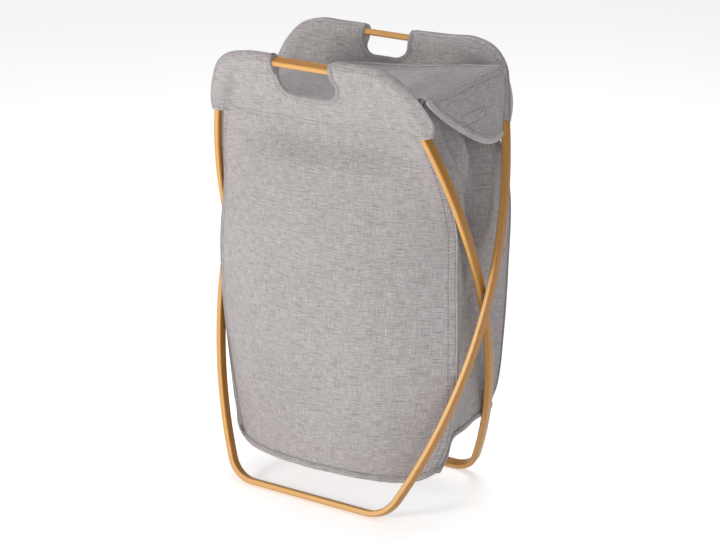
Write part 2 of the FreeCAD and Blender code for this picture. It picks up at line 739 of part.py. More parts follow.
def build():
    doc = FreeCAD.newDocument("LaundryHamper")
    s = make_sheet(doc)
    half_strip = s["strip_thickness"] / 2
    foot_rise = half_strip * cosine(s["lean"]) + s["strip_width"] / 2 * sine(s["lean"])
    foot_rise = foot_rise - s["foot_bevel"]
    height = s["rail_span"] / 2 * cosine(s["lean"]) + foot_rise
    inner_pivot_x = (s["outer_pivot_x"] - s["strip_thickness"] - s["washer_thickness"]
                     - s["pivot_gap"])
    s["pivot_height"] = height
    s["inner_pivot_x"] = inner_pivot_x
    soft_sizes(s)
    outer_bow = bow_of(s, s["outer_pivot_x"], s["outer_bow_rise"])
    inner_bow = bow_of(s, inner_pivot_x, s["inner_bow_rise"])
    places = {"pivot_height": height, "outer_face": s["outer_pivot_x"] - half_strip,
              "inner_face": inner_pivot_x - half_strip,
              "washer_start": inner_pivot_x + half_strip + s["washer_seat"]}
    outer_bore = [("insert_hole", s["insert_radius"], places["outer_face"] + s["insert_length"])]
    inner_bore = [
        ("screw_hole", s["screw_radius"] + s["screw_clearance"], s["outer_pivot_x"]),
        ("head_recess", s["screw_head_radius"] + s["screw_gap"],
         places["inner_face"] + s["screw_head_height"] + s["screw_gap"]),
    ]
    leans = {"outer": -s["lean"], "inner": s["lean"]}
    nodes = []
    for name, bow, bore in (("outer", outer_bow, outer_bore), ("inner", inner_bow, inner_bore)):
        lower = loop_half(doc, s, name + "_loop_lower", bow, leans[name], height, bore, False)
        nodes.append(stand_on_floor(doc, s, lower, name + "_loop_lower"))
        nodes.append(loop_half(doc, s, name + "_loop_upper", bow, leans[name], height, None, True))
    nodes += make_pivots(doc, s, places)

    for name, bow, lean, width, shift, drop in (
            ("front", inner_bow, leans["inner"], s["front_handle_width"],
             s["front_handle_shift"], s["front_handle_drop"]),
            ("rear", outer_bow, leans["outer"], s["rear_handle_width"],
             s["rear_handle_shift"], s["rear_handle_drop"])):
        hand = {"width": width, "shift": shift, "drop": drop}
        for layer, towards_rear in (("face", name == "rear"), ("lining", name == "front")):
            nodes.append(header_layer(doc, s, "%s_header_%s" % (name, layer), bow, lean, height,
                                      hand, towards_rear))
        nodes.append(handle_binding(doc, s, name + "_handle_binding", lean, height, hand))

    nodes += make_bag(doc, s)
    nodes += make_lid(doc, s)
    nodes += make_tongue(doc, s)
    doc.recompute()
    return doc, nodes


def check_and_export(doc, nodes):
    for thing in doc.Objects:
        if "Invalid" in thing.State or "Error" in thing.State:
            raise RuntimeError("%s (%s) failed: %s" % (thing.Name, thing.Label, thing.State))
    for node in nodes:
        shape = node.Shape
        if shape.isNull() or not shape.isValid() or not shape.Solids:
            raise RuntimeError("%s has no valid solid" % node.Label)
    os.makedirs("parts", exist_ok=True)
    for node in nodes:
        node.Shape.exportStep("parts/%s.step" % node.Label)
        box = node.Shape.optimalBoundingBox()
        print("%-20s %d solid  %9.1f mm3  x %.1f %.1f  y %.1f %.1f  z %.1f %.1f" % (
            node.Label, len(node.Shape.Solids), node.Shape.Volume, box.XMin, box.XMax,
            box.YMin, box.YMax, box.ZMin, box.ZMax))


document, parts = build()
check_and_export(document, parts)
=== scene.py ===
"""Visual model of the laundry hamper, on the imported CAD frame.

Metres, in the CAD's own frame: +Z up, +X right, -Y front, origin on the floor below the middle.
The bamboo loops and the pivots are the CAD's own.  Every cloth piece is made here.
"""
import math

import bpy
import numpy as np
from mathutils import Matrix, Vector, noise
from mathutils.geometry import delaunay_2d_cdt


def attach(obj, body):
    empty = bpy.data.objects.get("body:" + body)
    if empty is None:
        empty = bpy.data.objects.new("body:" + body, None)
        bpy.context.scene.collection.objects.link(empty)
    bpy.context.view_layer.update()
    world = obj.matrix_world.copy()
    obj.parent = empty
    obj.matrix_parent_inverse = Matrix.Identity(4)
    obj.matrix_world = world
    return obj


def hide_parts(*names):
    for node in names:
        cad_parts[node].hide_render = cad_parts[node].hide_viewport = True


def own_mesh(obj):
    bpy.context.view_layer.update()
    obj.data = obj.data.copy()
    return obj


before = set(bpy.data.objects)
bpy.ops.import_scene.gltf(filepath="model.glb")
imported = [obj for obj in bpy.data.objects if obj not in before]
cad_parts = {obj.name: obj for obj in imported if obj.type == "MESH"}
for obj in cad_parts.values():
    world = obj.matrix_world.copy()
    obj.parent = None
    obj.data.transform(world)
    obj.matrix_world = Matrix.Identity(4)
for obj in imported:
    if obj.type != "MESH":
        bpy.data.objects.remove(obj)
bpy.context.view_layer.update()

# ---------------------------------------------------------------- sizes, in metres

LEAN = math.radians(19.57)          # each loop's angle from upright
PIVOT_Z = 0.3255
FRONT, REAR = -1, 1                 # which loop, and which side of the bag
LEFT, RIGHT = -1, 1
CLOTH = 0.0013                      # one layer of linen

BOW_RADIUS = 0.760                  # the barrel curve of the legs
HALF_SPAN = 0.3396                  # pivot to the middle of a rail, along the loop
OUTER_BOW = (0.2295 - 0.7592, 0.0354)       # centre of the right leg's curve: x, above the pivot
INNER_BOW = (0.2170 - 0.7600, 0.0054)

RIM_ROUND = 0.009                   # radius of the fold along a header's edge
STRIP_REACH = (0.0065, 0.026)       # full and least thickness, from the strip's centreline
STRIP_HALF = 0.0097                 # half the header's thickness over the bamboo
HEADER_THIN = 0.0022                # half its thickness below the bamboo
CORNER_RADIUS = 0.050
SEAM_RISE = 0.2455                  # the header's lower edge, above the pivot along the loop
RIM_STITCH = 0.0062                 # stitch lines lie this far inside an edge
STITCH = 0.0034
STITCH_STEP = 0.0050
STITCH_RADIUS = 0.00038

# Header outlines in the plane of the loop, from the left seam corner over the top:
# metres to the right of the middle, and above the pivot.
FRONT_HEADER = [(-0.189, 0.2455), (-0.1875, 0.262), (-0.177, 0.292), (-0.157, 0.3255),
                (-0.135, 0.341), (-0.110, 0.3475), (-0.055, 0.3500), (0.0, 0.3510),
                (0.045, 0.3525), (0.090, 0.3545), (0.118, 0.3530), (0.140, 0.3450),
                (0.160, 0.3310), (0.176, 0.3120), (0.187, 0.2930), (0.1935, 0.2760),
                (0.1900, 0.2565)]
REAR_HEADER = [(-0.2120, 0.2455), (-0.2050, 0.280), (-0.1935, 0.3120), (-0.1730, 0.3375),
               (-0.1400, 0.3495), (-0.100, 0.3505), (0.0, 0.3510), (0.085, 0.3530),
               (0.130, 0.3545), (0.162, 0.3450), (0.1850, 0.3230), (0.1975, 0.2900),
               (0.2085, 0.2455)]
# Hand openings: left, right, bottom (above the pivot) and corner radius.
FRONT_HAND = (-0.0560, 0.0420, 0.2880, 0.024)
REAR_HAND = (-0.0570, 0.0230, 0.3080, 0.022)

# Sections of the bag from the hem up: half width at the front and at the rear seams, how far
# the two panels reach, how far their seams lie from the middle, and how far the gusset folds in.
BAG_Z = [0.058, 0.100, 0.160, 0.240, 0.340, 0.450, 0.510, 0.556, 0.590, 0.622]
FRONT_HALF_WIDTH = [0.178, 0.189, 0.200, 0.2050, 0.2060, 0.1985, 0.1875, 0.1740, 0.1720, 0.1770]
REAR_HALF_WIDTH = [0.166, 0.176, 0.189, 0.1970, 0.2040, 0.2035, 0.1960, 0.1800, 0.1720, 0.1740]
FRONT_REACH = [0.104, 0.110, 0.116, 0.118, 0.116, 0.1060, 0.0950, 0.0890, 0.0960, 0.1050]
REAR_REACH = [0.106, 0.108, 0.110, 0.110, 0.108, 0.1085, 0.1040, 0.0900, 0.0960, 0.1050]
FRONT_SEAM = [0.052, 0.043, 0.038, 0.044, 0.048, 0.046, 0.064, 0.0780, 0.0835, 0.0960]
REAR_SEAM = [0.080, 0.088, 0.093, 0.094, 0.091, 0.0930, 0.0900, 0.0800, 0.0835, 0.0920]
CREASE = [0.016, 0.020, 0.022, 0.022, 0.018, 0.0120, 0.0070, 0.0020, 0.0010, 0.0010]
# The hem is level at the front and rises along the sides: distance behind the middle, height.
HEM_Y = [-0.130, -0.055, -0.020, 0.000, 0.035, 0.072, 0.115]
HEM_Z = [0.0560, 0.0580, 0.0780, 0.0920, 0.1080, 0.1180, 0.1215]
HEM = 0.007

LID_HINGE = (-0.1725, 0.588)        # x and height
LID_CREASE = (0.186, 0.619)
LID_CLEAR = 0.0050                  # from the plane of each loop to the lid's edge
LID_CLEAR_AT_LEGS = 0.0068
LID_REAR_LIFT = 0.0075              # the crease rises towards the rear header
LID_THICK = 0.003
TONGUE_FLARE = math.radians(12)
# The tongue's lower edge, from the front: metres behind the middle, and drop.
TONGUE_EDGE = [(-0.0965, 0.004), (-0.090, 0.013), (-0.074, 0.028), (-0.050, 0.046),
               (-0.024, 0.063), (0.002, 0.0790), (0.026, 0.0900), (0.050, 0.0945),
               (0.074, 0.0900), (0.092, 0.0780), (0.1030, 0.0600), (0.1060, 0.036),
               (0.1020, 0.016), (0.0975, 0.004)]

CAMERA_AT = (1.956, -2.818, 1.433)
CAMERA_AIM = (0.0, 0.0, 0.3148)
CAMERA_LENS = 124.5
CAMERA_SHIFT = (0.008, 0.006)

FLOOR_HALF = 6.0
FLOOR_DROP = 0.0003                 # the floor lies just under the feet
CREASE_HALF = 0.0905                # half the lid's length of crease
CREASE_ROLL = 0.0055                # radius of the cloth over the crease
PATCH_SIZE = (0.060, 0.018)
LOOP_TAPE_Z = 0.565                 # middle of the loop tape
PANEL_TOP = 0.578
LEFT_TOP, RIGHT_TOP = 0.582, 0.590


# ---------------------------------------------------------------- helpers

def points_of(*coordinates):
    """Points from their coordinates, each of them an array or one number."""
    return np.stack(np.broadcast_arrays(*coordinates), -1)


def on_loop(side, x, rise, out):
    """A point of a loop's plane: across, up from the pivot, and out of the plane."""
    y = side * (out * math.cos(LEAN) + rise * math.sin(LEAN))
    return points_of(x, y, PIVOT_Z - out * math.sin(LEAN)
                                        + rise * math.cos(LEAN))


def smooth_through(knots, values, at):
    """A smooth curve through the values, with no overshoot at the ends."""
    knots, values, at = (np.asarray(a, float) for a in (knots, values, at))
    slopes = np.gradient(values, knots)
    i = np.clip(np.searchsorted(knots, at) - 1, 0, len(knots) - 2)
    width = knots[i + 1] - knots[i]
    t = np.clip((at - knots[i]) / width, 0, 1)
    return ((2 * t**3 - 3 * t**2 + 1) * values[i] + (t**3 - 2 * t**2 + t) * width * slopes[i]
            + (3 * t**2 - 2 * t**3) * values[i + 1] + (t**3 - t**2) * width * slopes[i + 1])


def distances(path):
    """How far along a path each of its points is."""
    return np.concatenate([[0], np.cumsum(np.linalg.norm(np.diff(path, axis=0), axis=1))])


def tangents(path):
    """Unit direction of a path at each point."""
    tangent = np.gradient(path, axis=0)
    return tangent / np.linalg.norm(tangent, axis=1, keepdims=True)


def to_the_right(path):
    """Unit direction to the right of a flat path, which is into the cloth of an outline."""
    tangent = tangents(path)
    return np.stack([tangent[:, 1], -tangent[:, 0]], -1)


def resample(points, step):
    """The smooth curve through some points, with points about one step apart."""
    points = np.asarray(points, float)
    along = distances(points)
    count = max(2, int(round(along[-1] / step)) + 1)
    at = np.linspace(0, along[-1], count)
    return np.stack([smooth_through(along, points[:, k], at) for k in range(points.shape[1])], -1)


def ease(a, b, value):
    t = np.clip((value - a) / (b - a), 0, 1)
    return t * t * (3 - 2 * t)


def ripple(points, scale, seed, like=None):
    """Smooth noise from about -1 to 1 at each point, in the shape of another array if given."""
    values = np.array([noise.noise(Vector((p[0] / scale[0], p[1] / scale[1],
                                           (p[2] / scale[2] if len(p) > 2 else 0.0) + seed)))
                       for p in np.asarray(points)])
    return values if like is None else values.reshape(like.shape)


def mesh_piece(name, points, faces, uv=None, smooth=True):
    mesh = bpy.data.meshes.new(name)
    mesh.from_pydata([tuple(map(float, p)) for p in points], [],
                     [tuple(map(int, f)) for f in faces])
    if uv is not None:
        layer = mesh.uv_layers.new(name="cloth")
        index = np.zeros(len(mesh.loops), np.int32)
        mesh.loops.foreach_get("vertex_index", index)
        layer.data.foreach_set("uv", np.asarray(uv, np.float32)[index].ravel())
    if smooth:
        mesh.polygons.foreach_set("use_smooth", [True] * len(mesh.polygons))
    mesh.update()
    piece = bpy.data.objects.new(name, mesh)
    bpy.context.scene.collection.objects.link(piece)
    return piece


def grid_faces(rows, columns, closed=False):
    faces = []
    last = columns if closed else columns - 1
    for r in range(rows - 1):
        for c in range(last):
            d = (c + 1) % columns
            faces.append((r * columns + c, r * columns + d, (r + 1) * columns + d,
                          (r + 1) * columns + c))
    return faces


def grid_piece(name, grid, uv):
    rows, columns = grid.shape[:2]
    return mesh_piece(name, grid.reshape(-1, 3), grid_faces(rows, columns), uv.reshape(-1, 2))


def face_towards(piece, outward):
    """Turns the faces of an open sheet so that most look along outward(point)."""
    total = sum(p.normal.dot(Vector(outward(p.center))) * p.area for p in piece.data.polygons)
    if total < 0:
        piece.data.flip_normals()


def give_thickness(piece, thickness):
    """Turns an open sheet into cloth, growing away from the side that it faces."""
    solid = piece.modifiers.new("cloth", "SOLIDIFY")
    solid.thickness = thickness
    solid.offset = -1.0
    solid.use_even_offset = False
    bpy.context.view_layer.objects.active = piece
    for other in bpy.context.selected_objects:
        other.select_set(False)
    piece.select_set(True)
    bpy.ops.object.modifier_apply(modifier=solid.name)
    return piece


def frames_along(path, up):
    """Unit tangent, side and up at each point of a path."""
    tangent = np.gradient(path, axis=0)
    tangent /= np.linalg.norm(tangent, axis=1, keepdims=True) + 1e-12
    up = np.broadcast_to(np.asarray(up, float), path.shape)
    side = np.cross(up, tangent)
    side /= np.linalg.norm(side, axis=1, keepdims=True) + 1e-12
    return tangent, side, np.cross(tangent, side)


def sweep(name, path, up, section):
    """A solid strip: one closed section, in side and up, carried along a path."""
    path = np.asarray(path, float)
    _, side, top = frames_along(path, up)
    section = np.asarray(section, float)
    rings = (path[:, None] + side[:, None] * section[None, :, :1]
             + top[:, None] * section[None, :, 1:])
    count = len(section)
    faces = grid_faces(len(path), count, closed=True)
    faces += [tuple(range(count))[::-1],
              tuple((len(path) - 1) * count + c for c in range(count))]
    along = distances(path)
    around = distances(section)
    uv = points_of(along[:, None], around[None, :])
    return mesh_piece(name, rings.reshape(-1, 3), faces, uv.reshape(-1, 2))


def oval(width, height, count=10):
    turn = np.linspace(0, 2 * math.pi, count, endpoint=False)
    return np.stack([np.cos(turn) * width / 2, np.sin(turn) * height / 2], -1)


def stitches(name, lines, step=STITCH_STEP, length=STITCH, radius=STITCH_RADIUS):
    """Rows of thread stitches.  Each line is (path, outward direction at each point)."""
    rings = [(-0.5, 0.0), (-0.42, 0.75), (-0.2, 1.0), (0.2, 1.0), (0.42, 0.75), (0.5, 0.0)]
    sides = 6
    turn = np.linspace(0, 2 * math.pi, sides, endpoint=False)
    faces = grid_faces(len(rings), sides, closed=True)
    points, all_faces = [], []
    for path, outward in lines:
        path = np.asarray(path, float)
        outward = np.broadcast_to(np.asarray(outward, float), path.shape)
        along = distances(path)
        tangent, side, up = frames_along(path, outward)
        for middle in np.arange(step / 2, along[-1], step):
            centre, way, across, out = (
                np.array([np.interp(middle, along, a[:, k]) for k in range(3)])
                for a in (path, tangent, side, up))
            base = len(points)
            for along_share, width in rings:
                sunk = radius * (0.35 - 5.0 * max(0.0, abs(along_share) - 0.3))
                for t in turn:
                    points.append(centre + way * along_share * length + out * sunk
                                  + (across * math.cos(t) + out * math.sin(t)) * radius * width)
            all_faces += [tuple(base + i for i in f) for f in faces]
    return mesh_piece(name, points, all_faces)


# ---------------------------------------------------------------- materials

class Nodes:
    """A short way to build a node material."""

    def __init__(self, name):
        self.material = bpy.data.materials.new(name)
        self.material.use_nodes = True
        self.tree = self.material.node_tree
        self.shader = self.tree.nodes["Principled BSDF"]

    def add(self, kind, **settings):
        node = self.tree.nodes.new("ShaderNode" + kind)
        for key, value in settings.items():
            setattr(node, key, value)
        return node

    def link(self, source, target):
        self.tree.links.new(source, target)

    def math(self, operation, a, b=None, clamp=False):
        node = self.add("Math", operation=operation, use_clamp=clamp)
        for socket, value in zip(node.inputs, (a, b)):
            if value is None:
                continue
            if isinstance(value, (int, float)):
                socket.default_value = value
            else:
                self.link(value, socket)
        return node.outputs[0]

    def times(self, a, b):
        return self.math("MULTIPLY", a, b)

    def vector(self, x, y, z=0.0):
        node = self.add("CombineXYZ")
        for socket, value in zip(node.inputs, (x, y, z)):
            if isinstance(value, (int, float)):
                socket.default_value = value
            else:
                self.link(value, socket)
        return node.outputs[0]

    def noise(self, where, scale=1.0, detail=2.0, rough=0.5):
        node = self.add("TexNoise")
        self.link(where, node.inputs["Vector"])
        node.inputs["Scale"].default_value = scale
        node.inputs["Detail"].default_value = detail
        node.inputs["Roughness"].default_value = rough
        return node.outputs["Fac"]

    def ramp(self, value, stops):
        node = self.add("ValToRGB")
        while len(node.color_ramp.elements) < len(stops):
            node.color_ramp.elements.new(0.5)
        for element, (place, colour) in zip(node.color_ramp.elements, stops):
            element.position = place
            element.color = (*colour, 1.0)
        self.link(value, node.inputs["Fac"])
        return node.outputs["Color"]

    def blend(self, share, a, b, how="MIX"):
        node = self.add("Mix", data_type="RGBA", blend_type=how)
        for socket, value in ((node.inputs[0], share), (node.inputs[6], a), (node.inputs[7], b)):
            if isinstance(value, (int, float)):
                socket.default_value = value
            elif isinstance(value, tuple):
                socket.default_value = (*value, 1.0)
            else:
                self.link(value, socket)
        return node.outputs[2]

    def bump(self, height, depth, strength=1.0):
        node = self.add("Bump")
        node.inputs["Strength"].default_value = strength
        node.inputs["Distance"].default_value = depth
        self.link(height, node.inputs["Height"])
        self.link(node.outputs["Normal"], self.shader.inputs["Normal"])

    def colour(self, source):
        self.link(source, self.shader.inputs["Base Color"])

    def roughness(self, value, low, high):
        node = self.add("MapRange")
        self.link(value, node.inputs["Value"])
        node.inputs["To Min"].default_value = low
        node.inputs["To Max"].default_value = high
        self.link(node.outputs[0], self.shader.inputs["Roughness"])


# Scales of the linen's noise, per metre: along a thread and across it.
THREAD_LENGTHWISE, THREAD_ACROSS = 70.0, 0.85       # the second is a share of the thread
SLUB_LENGTHWISE, SLUB_ACROSS = 34.0, 640.0


def linen(name, light, dark, thread=0.0011):
    """Heathered plain weave: light and dark threads both ways, with thick places in them."""
    n = Nodes(name)
    uv = n.add("UVMap", uv_map="cloth")
    split = n.add("SeparateXYZ")
    n.link(uv.outputs[0], split.inputs[0])
    u, v = split.outputs[0], split.outputs[1]
    across = n.noise(n.vector(n.times(u, THREAD_LENGTHWISE), n.times(v, THREAD_ACROSS / thread)),
                     1, 4, 0.65)
    down = n.noise(n.vector(n.times(u, THREAD_ACROSS / thread), n.times(v, THREAD_LENGTHWISE), 7.0),
                   1, 4, 0.65)
    slub = n.noise(n.vector(n.times(u, SLUB_LENGTHWISE), n.times(v, SLUB_ACROSS), 3.0), 1, 1)
    slub_down = n.noise(n.vector(n.times(u, SLUB_ACROSS), n.times(v, SLUB_LENGTHWISE), 5.0),
                        1, 1)
    cloud = n.noise(n.vector(u, v, 2.0), 7.0, 3)
    heather = n.math("ADD", n.times(across, 0.56), n.times(down, 0.38))
    heather = n.math("ADD", heather, n.times(cloud, 0.10))
    middle = tuple((a + b) / 2 for a, b in zip(light, dark))
    base = n.ramp(heather, [(0.38, dark), (0.52, middle), (0.66, light)])
    thick = n.times(n.math("GREATER_THAN", slub, 0.61), 0.34)
    thick_down = n.times(n.math("GREATER_THAN", slub_down, 0.63), 0.22)
    colour = n.blend(thick, base, tuple(c * 0.60 for c in dark))
    colour = n.blend(thick_down, colour, tuple(min(1.0, c * 1.2) for c in light))
    n.colour(colour)
    turn = math.pi / thread
    weave = n.times(n.math("SINE", n.times(u, turn)),
                   n.math("SINE", n.times(v, turn)))
    height = n.math("ADD", n.times(weave, 0.35), heather)
    n.bump(height, 0.0006, 0.75)
    n.roughness(heather, 0.94, 0.82)
    n.shader.inputs["Sheen Weight"].default_value = 0.12
    n.shader.inputs["Sheen Roughness"].default_value = 0.5
    n.shader.inputs["Specular IOR Level"].default_value = 0.25
    return n.material


def bamboo(name, bow_centre, bow_rise, side):
    """Laminated bamboo strip, its grain running round the loop."""
    n = Nodes(name)
    place = n.add("TexCoord")
    split = n.add("SeparateXYZ")
    n.link(place.outputs["Object"], split.inputs[0])
    x = n.math("ABSOLUTE", split.outputs[0])
    y, z = split.outputs[1], n.math("SUBTRACT", split.outputs[2], PIVOT_Z)
    rise = n.math("ADD", n.times(y, side * math.sin(LEAN)),
                  n.times(z, math.cos(LEAN)))
    out = n.math("SUBTRACT", n.times(y, math.cos(LEAN)),
                 n.times(z, side * math.sin(LEAN)))
    away = n.math("SUBTRACT", x, bow_centre)
    up = n.math("SUBTRACT", rise, bow_rise)
    radius = n.math("SQRT", n.math("ADD", n.times(away, away),
                                   n.times(up, up)))
    end = n.math("ADD", n.math("ABSOLUTE", rise), BOW_RADIUS - HALF_SPAN)
    across = n.math("MAXIMUM", radius, end)
    along = n.math("ADD", x, n.math("ABSOLUTE", rise))
    fine = n.noise(n.vector(n.times(along, 14.0), n.times(across, 1500.0),
                            n.times(out, 1500.0)), 1, 3, 0.6)
    broad = n.noise(n.vector(n.times(along, 5.0), n.times(across, 300.0),
                             n.times(out, 260.0)), 1, 2)
    grain = n.math("ADD", n.times(fine, 0.55), n.times(broad, 0.45))
    face = n.ramp(grain, [(0.30, (0.30, 0.118, 0.010)), (0.50, (0.47, 0.215, 0.024)),
                          (0.70, (0.62, 0.310, 0.050))])
    # Painted light: the flat faces, across the loop, are painted paler as lit faces, and the narrow
    # edges are painted darker as shaded ones.
    normal = n.add("TexCoord").outputs["Normal"]
    facing = n.add("VectorMath", operation="DOT_PRODUCT")
    n.link(normal, facing.inputs[0])
    facing.inputs[1].default_value = (0.0, math.cos(LEAN), -side * math.sin(LEAN))
    flat = n.math("POWER", n.math("ABSOLUTE", facing.outputs["Value"]), 3.0)
    colour = n.blend(flat, n.blend(0.50, face, (0.30, 0.115, 0.012)),
                     n.blend(0.42, face, (0.74, 0.44, 0.17)))
    n.colour(colour)
    n.bump(grain, 0.0004, 0.35)
    n.roughness(grain, 0.30, 0.46)
    n.shader.inputs["Coat Weight"].default_value = 0.15
    n.shader.inputs["Coat Roughness"].default_value = 0.25
    n.shader.inputs["Specular IOR Level"].default_value = 0.35
    return n.material


def metal(name, dark, light):
    n = Nodes(name)
    where = n.add("TexCoord").outputs["Object"]
    brushed = n.noise(where, 900.0, 3)
    n.colour(n.ramp(brushed, [(0.35, dark), (0.65, light)]))
    n.shader.inputs["Metallic"].default_value = 1.0
    n.roughness(brushed, 0.25, 0.42)
    n.bump(brushed, 0.0001, 0.3)
    return n.material


def plastic(name, dark, light):
    n = Nodes(name)
    where = n.add("TexCoord").outputs["Object"]
    grain = n.noise(where, 500.0, 2)
    n.colour(n.ramp(grain, [(0.3, dark), (0.7, light)]))
    n.roughness(grain, 0.38, 0.55)
    n.bump(grain, 0.0002, 0.3)
    return n.material


def nap(name, dark, light):
    """Hook-and-loop tape: rows of tiny loops."""
    n = Nodes(name)
    where = n.add("TexCoord").outputs["Object"]
    cells = n.add("TexVoronoi")
    n.link(where, cells.inputs["Vector"])
    cells.inputs["Scale"].default_value = 900.0
    n.colour(n.ramp(cells.outputs["Distance"], [(0.1, light), (0.6, dark)]))
    n.roughness(cells.outputs["Distance"], 0.7, 0.95)
    n.bump(cells.outputs["Distance"], 0.0006, 1.0)
    return n.material


def floor_finish():
    n = Nodes("studio_floor")
    where = n.add("TexCoord").outputs["Object"]
    cloud = n.noise(where, 1.5, 2)
    n.colour(n.ramp(cloud, [(0.2, (0.93, 0.93, 0.93)), (0.8, (0.96, 0.96, 0.96))]))
    n.roughness(cloud, 0.20, 0.28)
    n.shader.inputs["Emission Color"].default_value = (1.0, 1.0, 1.0, 1.0)
    n.shader.inputs["Emission Strength"].default_value = 0.42
    return n.material


# ---------------------------------------------------------------- headers

def hand_path(hand, top, step):
    """The edge of a hand opening, from the top left down, across and up: place and way in."""
    left, right, bottom, radius = hand
    turn = np.linspace(0, math.pi / 2, 9)
    path = [(left, top(left))]
    path += [(left, r) for r in np.arange(top(left) - step, bottom + radius, -step)]
    path += [(left + radius - radius * math.cos(t), bottom + radius - radius * math.sin(t))
             for t in turn]
    path += [(right - radius + radius * math.sin(t), bottom + radius - radius * math.cos(t))
             for t in turn]
    path += [(right, r) for r in np.arange(bottom + radius + step, top(right), step)]
    path += [(right, top(right))]
    path = np.array(path)
    keep = np.concatenate([[True], np.linalg.norm(np.diff(path, axis=0), axis=1) > 1e-5])
    path = path[keep]
    return path, to_the_right(path)


class Header:
    """The cloth pocket over the top of a loop, folded over the bamboo and sewn below it."""

    def __init__(self, name, side, outline, hand, seed):
        self.name, self.side, self.hand, self.seed = name, side, hand, seed
        self.edge = resample(outline, 0.0025)
        self.left, self.right = outline[0][0], outline[-1][0]
        self.strip = strip_line(OUTER_BOW if side > 0 else INNER_BOW)

    def seam_at(self, x):
        """The lower seam runs straight, then rises to where the outline ends on the right."""
        rise = self.edge[-1, 1] - SEAM_RISE
        return SEAM_RISE + rise * ease(-0.02, self.right, x)

    def top(self, x):
        high = self.edge[self.edge[:, 1] > 0.33]
        return float(np.interp(x, high[:, 0], high[:, 1]))

    def from_edge(self, flat):
        flat = np.atleast_2d(flat)
        return np.array([np.min(np.hypot(self.edge[:, 0] - p[0], self.edge[:, 1] - p[1]))
                         for p in flat])

    def half(self, flat):
        """Half the pocket's thickness: round over the bamboo, thin below it."""
        flat = np.atleast_2d(flat)
        inset = np.clip(self.from_edge(flat) / RIM_ROUND, 0, 1)
        rim = np.sqrt(np.clip(1 - (1 - inset)**2, 0, 1))
        return rim * (STRIP_HALF + (HEADER_THIN - STRIP_HALF) * self.fade(flat))

    def fade(self, flat):
        """0 over the bamboo, and 1 where the two layers lie together."""
        away = np.array([np.min(np.hypot(*(self.strip - p).T)) for p in flat])
        return ease(*STRIP_REACH, away)

    def out(self, flat, which):
        """How far the outer (1) or inner (-1) layer lies from the plane of the loop."""
        flat = np.atleast_2d(flat)
        d = self.from_edge(flat)
        soft = ease(0.002, 0.02, d)
        where = flat + which * 3.1
        wave = 0.0016 * ripple(where, (0.055, 0.035), self.seed) * soft
        wave += 0.0006 * ripple(where, (0.013, 0.030), self.seed + 4) * soft
        # The seam pulls small puckers, and the slack right shoulder hangs in soft folds.
        near_seam = np.exp(-((flat[:, 1] - self.seam_at(flat[:, 0])) / 0.012)**2)
        wave += 0.0007 * ripple(flat, (0.006, 0.05), self.seed + 8) * near_seam
        shoulder = np.exp(-((flat[:, 0] - 0.172) / 0.026)**2 - ((flat[:, 1] - 0.275) / 0.026)**2)
        slant = (flat[:, 0] - 0.15) * 0.8 + (flat[:, 1] - 0.25)
        wave += 0.0022 * np.sin(slant / 0.0042) * shoulder * soft
        stitch = -0.0007 * np.exp(-((d - RIM_STITCH) / 0.0011)**2)
        lift = wave * (0.45 + 0.55 * self.fade(flat))
        return which * (self.half(flat) + stitch + which * lift)

    def point(self, flat, out):
        flat = np.atleast_2d(flat)
        return on_loop(self.side, flat[:, 0], flat[:, 1], out)

    def cloth(self):
        step = 0.0042
        border = [tuple(p) for p in self.edge]
        top_left = [p for p in border if p[0] < self.hand[0] - 0.0012]
        top_right = [p for p in border if p[0] > self.hand[1] + 0.0012]
        notch, _ = hand_path(self.hand, self.top, 0.003)
        seam = [(x, float(self.seam_at(x)))
                for x in np.arange(self.right - 0.003, self.left + 0.002, -0.003)]
        ring = [Vector(p) for p in top_left + [tuple(p) for p in notch] + top_right + seam]
        polygon = np.array([tuple(p) for p in ring])

        inside = []
        centre = polygon.mean(0)
        for inset in (0.0009, 0.0022, 0.0042, 0.0070):
            inward = to_the_right(self.edge)
            if (inward[len(inward) // 2] * (centre - self.edge[len(inward) // 2])).sum() < 0:
                inward = -inward
            inside += [tuple(p) for p in self.edge + inward * inset]
        xs = np.arange(self.left - 0.01, self.right + 0.01, step)
        rises = np.arange(SEAM_RISE + 0.002, 0.36, step)
        grid = np.array([(x + (i % 2) * step / 2, r) for i, r in enumerate(rises) for x in xs])
        grid = grid[self.from_edge(grid) > 0.0088]
        inside += [tuple(p) for p in grid]
        inside = np.array(inside)
        inside = inside[inside_of(polygon, inside)]
        apart = np.array([np.min(np.hypot(*(polygon - p).T)) for p in inside])
        near_edge = self.from_edge(inside)
        inside = inside[(apart > 0.0016) | ((near_edge < 0.0085) & (apart > 0.0007))]

        points = ring + [Vector(p) for p in inside]
        made = delaunay_2d_cdt(points, [], [list(range(len(ring)))], 1, 1e-6)
        flat, triangles = np.array([tuple(p) for p in made[0]]), made[2]
        on_edge = self.from_edge(flat) < 1e-4
        outer = self.point(flat, self.out(flat, 1))
        inner = self.point(flat, self.out(flat, -1))
        outer[on_edge] = self.point(flat[on_edge], np.zeros(on_edge.sum()))
        count = len(flat)
        other = np.where(on_edge, np.arange(count), np.arange(count) + count)
        faces = [tuple(t) for t in triangles] + [tuple(int(other[i]) for i in t)[::-1]
                                                 for t in triangles]
        points = np.concatenate([outer, inner])
        used, index = np.unique(np.array(faces), return_inverse=True)
        faces = index.reshape(-1, 3)
        uv = np.concatenate([flat, flat * (1, -1) + (0.003, 1.2)])[used]
        piece = mesh_piece(self.name, points[used], faces, uv)
        middle = on_loop(self.side, 0.0, 0.30, 0.0)
        face_towards(piece, lambda p: (np.array(p) - middle) * (0, 1, 1))
        return give_thickness(piece, CLOTH)

